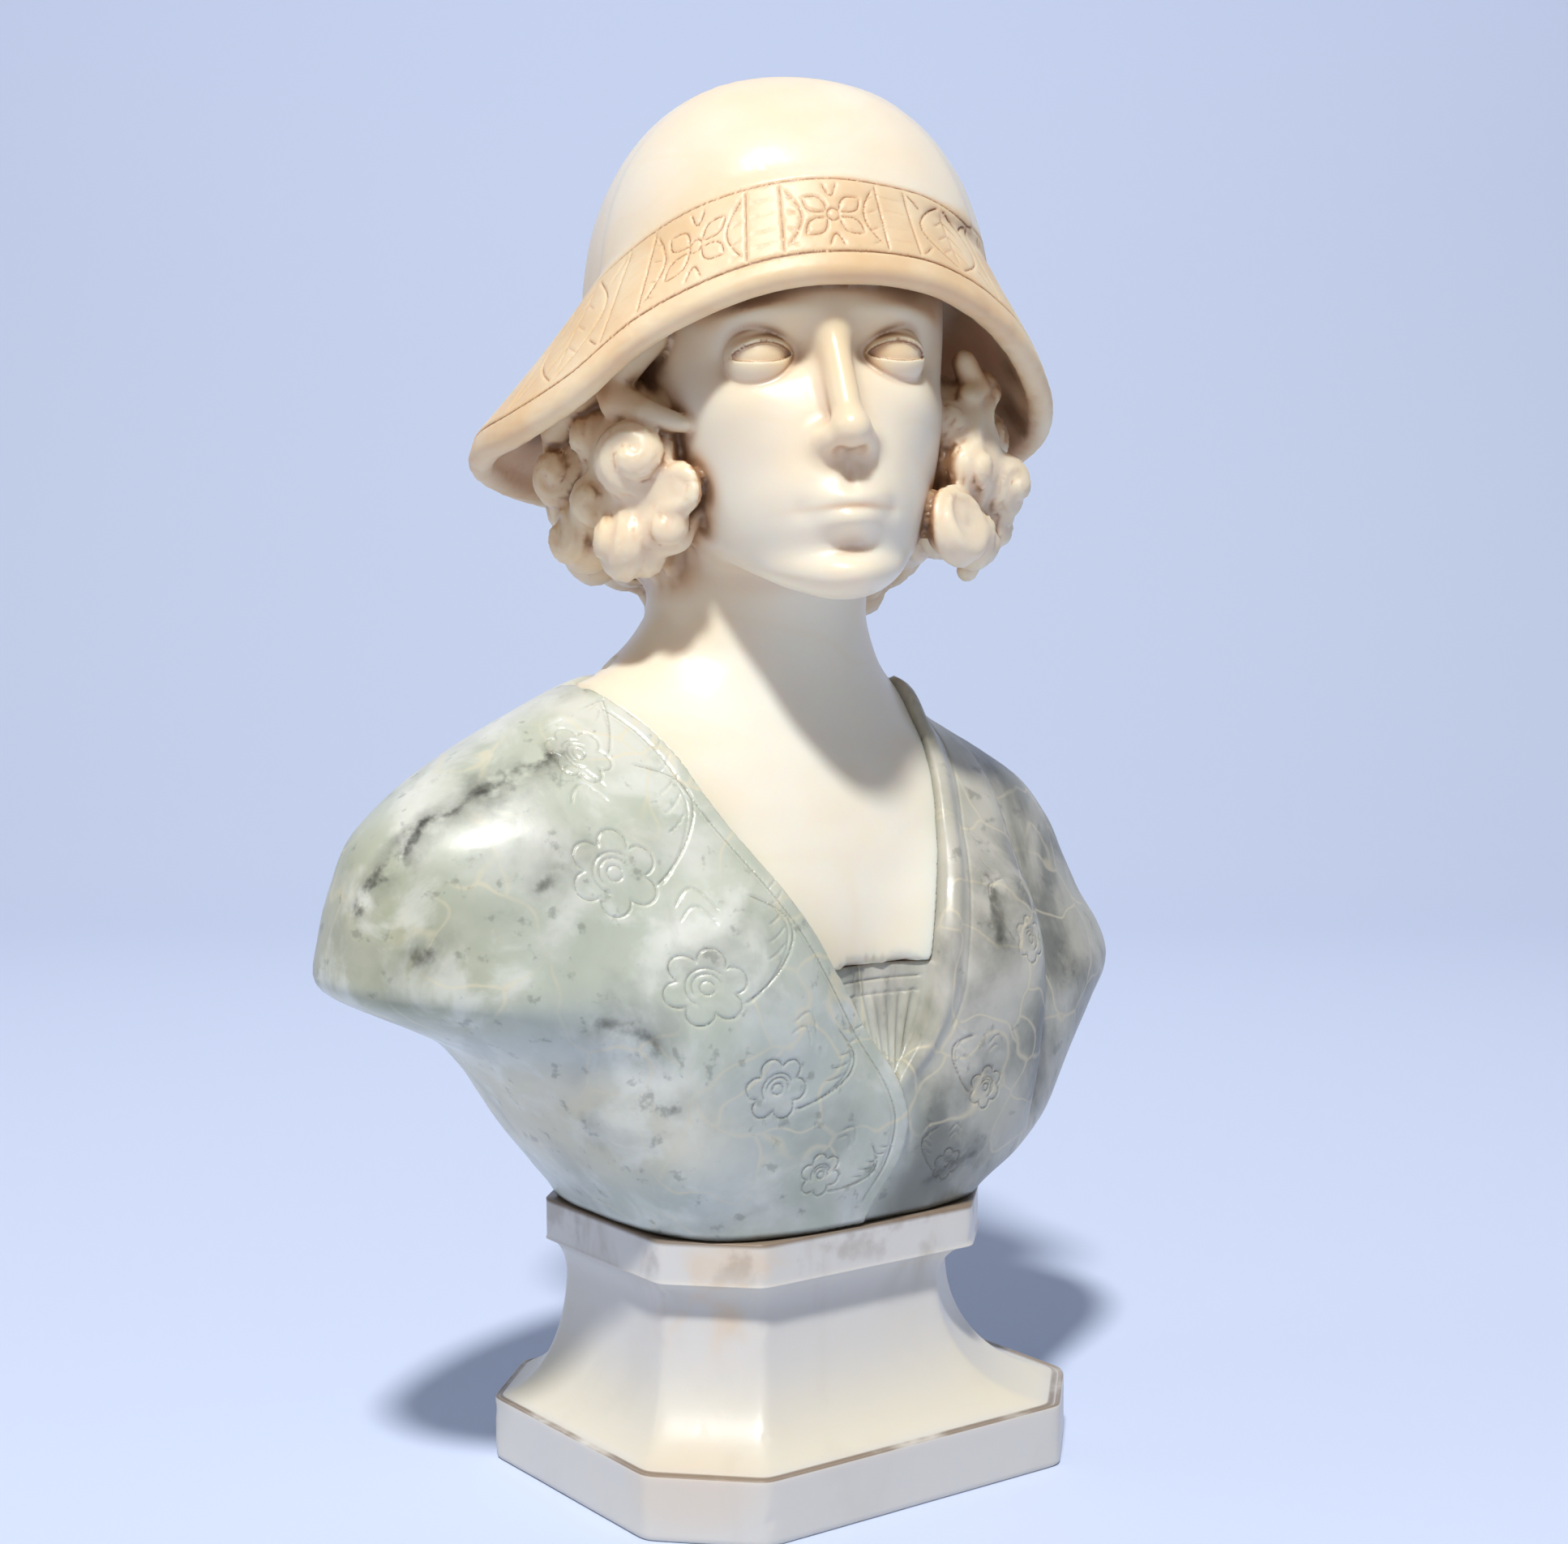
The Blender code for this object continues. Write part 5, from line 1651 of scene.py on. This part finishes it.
@dataclass(frozen=True)
class WhiteMarble:
    """The plinth's stone: white, creamy on the rise, with peach staining and brown dirt in its edges."""

    white: Colour = linear(214, 211, 206)
    cream: Colour = linear(224, 217, 198)
    peach: Colour = linear(222, 190, 152)
    rust: Colour = linear(206, 158, 108)
    brown: Colour = linear(110, 84, 54)
    smoke: Colour = linear(176, 166, 150)
    rust_runs: tuple[tuple[Place, Place], ...] = (
        ((-0.074, -0.040, 0.078), (-0.060, -0.056, 0.055)),
        ((-0.056, -0.060, 0.086), (-0.044, -0.062, 0.070)),
    )

    def material(self) -> bpy.types.Material:
        """Builds the material."""
        net = Shader("plinth_stone")
        net.colour = self.white
        low = net.maths("SUBTRACT", 1.0, net.smooth(net.z, 0.024, 0.052))
        rise = net.times(net.smooth(net.z, Plinth.slab_height - 0.001, Plinth.slab_height + 0.002), low)
        milky = net.times(net.smooth(net.noise(14, 2.0, 3), 0.45, 0.7), 0.4)
        net.lay(self.cream, 1.0, net.plus(net.times(rise, 0.8), milky))
        smoke = net.smooth(net.noise(34, 6.0, 4, 0.5, (1, 1, 0.5)), 0.5, 0.75)
        net.lay(self.smoke, net.plus(0.12, net.times(net.smooth(net.z, 0.058, 0.078), 0.55)), smoke)
        peach = net.smooth(net.noise(26, 3.7, 5, 0.3), 0.46, 0.62)
        net.lay(self.peach, 0.55, peach, net.near((-0.062, -0.052, 0.070), (0.045, 0.045, 0.026)))
        for start, end in self.rust_runs:
            net.lay(self.rust, 0.6, net.streak(start, end, 0.0025, 0.012))
        net.lay(self.peach, 0.25, net.near((-0.080, -0.060, 0.020), (0.03, 0.03, 0.022)))
        edge = net.near((0, 0, Plinth.slab_height - 0.0002), (9, 9, 0.0005))
        net.lay(self.brown, 0.75, edge, net.smooth(net.noise(30, 7.0, 4), 0.34, 0.56))
        net.lay(self.brown, 0.8, net.smooth(net.z, Plinth.height - 0.0020, Plinth.height - 0.0003))
        worn = net.smooth(net.noise(52, 15.0, 4), 0.52, 0.66)
        net.lay(self.brown, 0.30, worn, net.smooth(net.z, 0.070, 0.084))
        return net.finish(0.36, 0.25, 0.003, net.noise(150, 5.0, 3), 0.00006)


@dataclass(frozen=True)
class Lamp:
    """A soft lamp, placed by its direction from the bust."""

    name: str
    azimuth: float
    elevation: float
    distance: float
    size: float
    power: float
    colour: Place = (1.0, 1.0, 1.0)
    aim: Place = (0.0, 0.0, 0.22)

    def build(self) -> None:
        """Adds the lamp, facing its aim."""
        around, up = math.radians(self.azimuth), math.radians(self.elevation)
        away = Vector((math.sin(around) * math.cos(up), -math.cos(around) * math.cos(up), math.sin(up)))
        data = bpy.data.lights.new(self.name, "AREA")
        data.shape = "DISK"
        data.size, data.energy, data.color = self.size, self.power, self.colour
        lamp = bpy.data.objects.new(self.name, data)
        lamp.location = Vector(self.aim) + away * self.distance
        lamp.rotation_euler = (-away).to_track_quat("-Z", "Y").to_euler()
        bpy.context.scene.collection.objects.link(lamp)


@dataclass
class Studio:
    """The pale sweep, the lamps and the camera."""

    lamps: tuple[Lamp, ...] = (
        Lamp("key", -42, 57, 4.0, 0.42, 162, (1.0, 0.985, 0.965)),
        Lamp("side", -112, 28, 2.2, 0.9, 2.5),
        Lamp("backdrop", -36.4, 25, 1.8, 0.5, 2.5, aim=(1.36, 1.85, 0.45)),
    )
    sky: Colour = (0.97, 0.98, 1.0, 1.0)
    sky_power: float = 0.22
    paper: Colour = linear(208, 219, 243)
    # The camera: its way round and distance from the middle, its height, its tilt down and its lens.
    azimuth: float = -36.4
    distance: float = 0.820
    height: float = 0.2908
    tilt: float = 4.15
    focal: float = 3000 / 1934

    def sweep(self) -> bpy.types.Object:
        """A floor that rises behind the bust in one curve."""
        mesh = bpy.data.meshes.new("sweep")
        form = bmesh.new()
        back, bend, wide = 1.3, 1.2, 9.0
        line = [(-6.0, 0.0), (back, 0.0)]
        for angle in np.radians(np.arange(6, 91, 6)):
            line.append((back + bend * math.sin(angle), bend * (1 - math.cos(angle))))
        line.append((back + bend, 6.0))
        around = math.radians(self.azimuth)
        behind = Vector((-math.sin(around), math.cos(around), 0))
        side = Vector((math.cos(around), math.sin(around), 0))
        rows = []
        for far, up in line:
            middle = behind * far + Vector((0, 0, up))
            rows.append([form.verts.new(middle + side * wide * end) for end in (-1, 1)])
        for (a, b), (c, d) in zip(rows, rows[1:]):
            form.faces.new((a, b, d, c))
        form.to_mesh(mesh)
        form.free()
        mesh.shade_smooth()
        stuff = bpy.data.materials.new("paper")
        stuff.use_nodes = True
        surface = stuff.node_tree.nodes["Principled BSDF"]
        surface.inputs["Base Color"].default_value = self.paper
        surface.inputs["Roughness"].default_value = 0.7
        surface.inputs["Specular IOR Level"].default_value = 0.2
        mesh.materials.append(stuff)
        floor = bpy.data.objects.new("sweep", mesh)
        bpy.context.scene.collection.objects.link(floor)
        return floor

    def build(self) -> None:
        """Sets the stage."""
        scene = bpy.context.scene
        world = bpy.data.worlds.new("studio")
        world.use_nodes = True
        glow = world.node_tree.nodes["Background"]
        glow.inputs["Color"].default_value = self.sky
        glow.inputs["Strength"].default_value = self.sky_power
        scene.world = world
        self.sweep()
        for lamp in self.lamps:
            lamp.build()
        data = bpy.data.cameras.new("camera")
        data.sensor_fit, data.sensor_width = "HORIZONTAL", 36.0
        data.lens = self.focal * data.sensor_width
        camera = bpy.data.objects.new("camera", data)
        around = math.radians(self.azimuth)
        camera.location = (self.distance * math.sin(around), -self.distance * math.cos(around), self.height)
        camera.rotation_euler = (math.radians(90 - self.tilt), 0, around)
        scene.collection.objects.link(camera)
        scene.camera = camera
        scene.view_settings.view_transform = "Standard"


def main() -> None:
    """Builds and dresses the three stones, and sets the stage."""
    logging.basicConfig(level=logging.INFO, format="%(message)s")
    stones = ((Torso(), VeinedAlabaster()), (Head(), CreamAlabaster()), (Plinth(), WhiteMarble()))
    for maker, finish in stones:
        piece = maker.build(finish.material())
        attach(piece, BODY)
        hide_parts(maker.name)
    Studio().build()


if __name__ == "__main__":
    main()
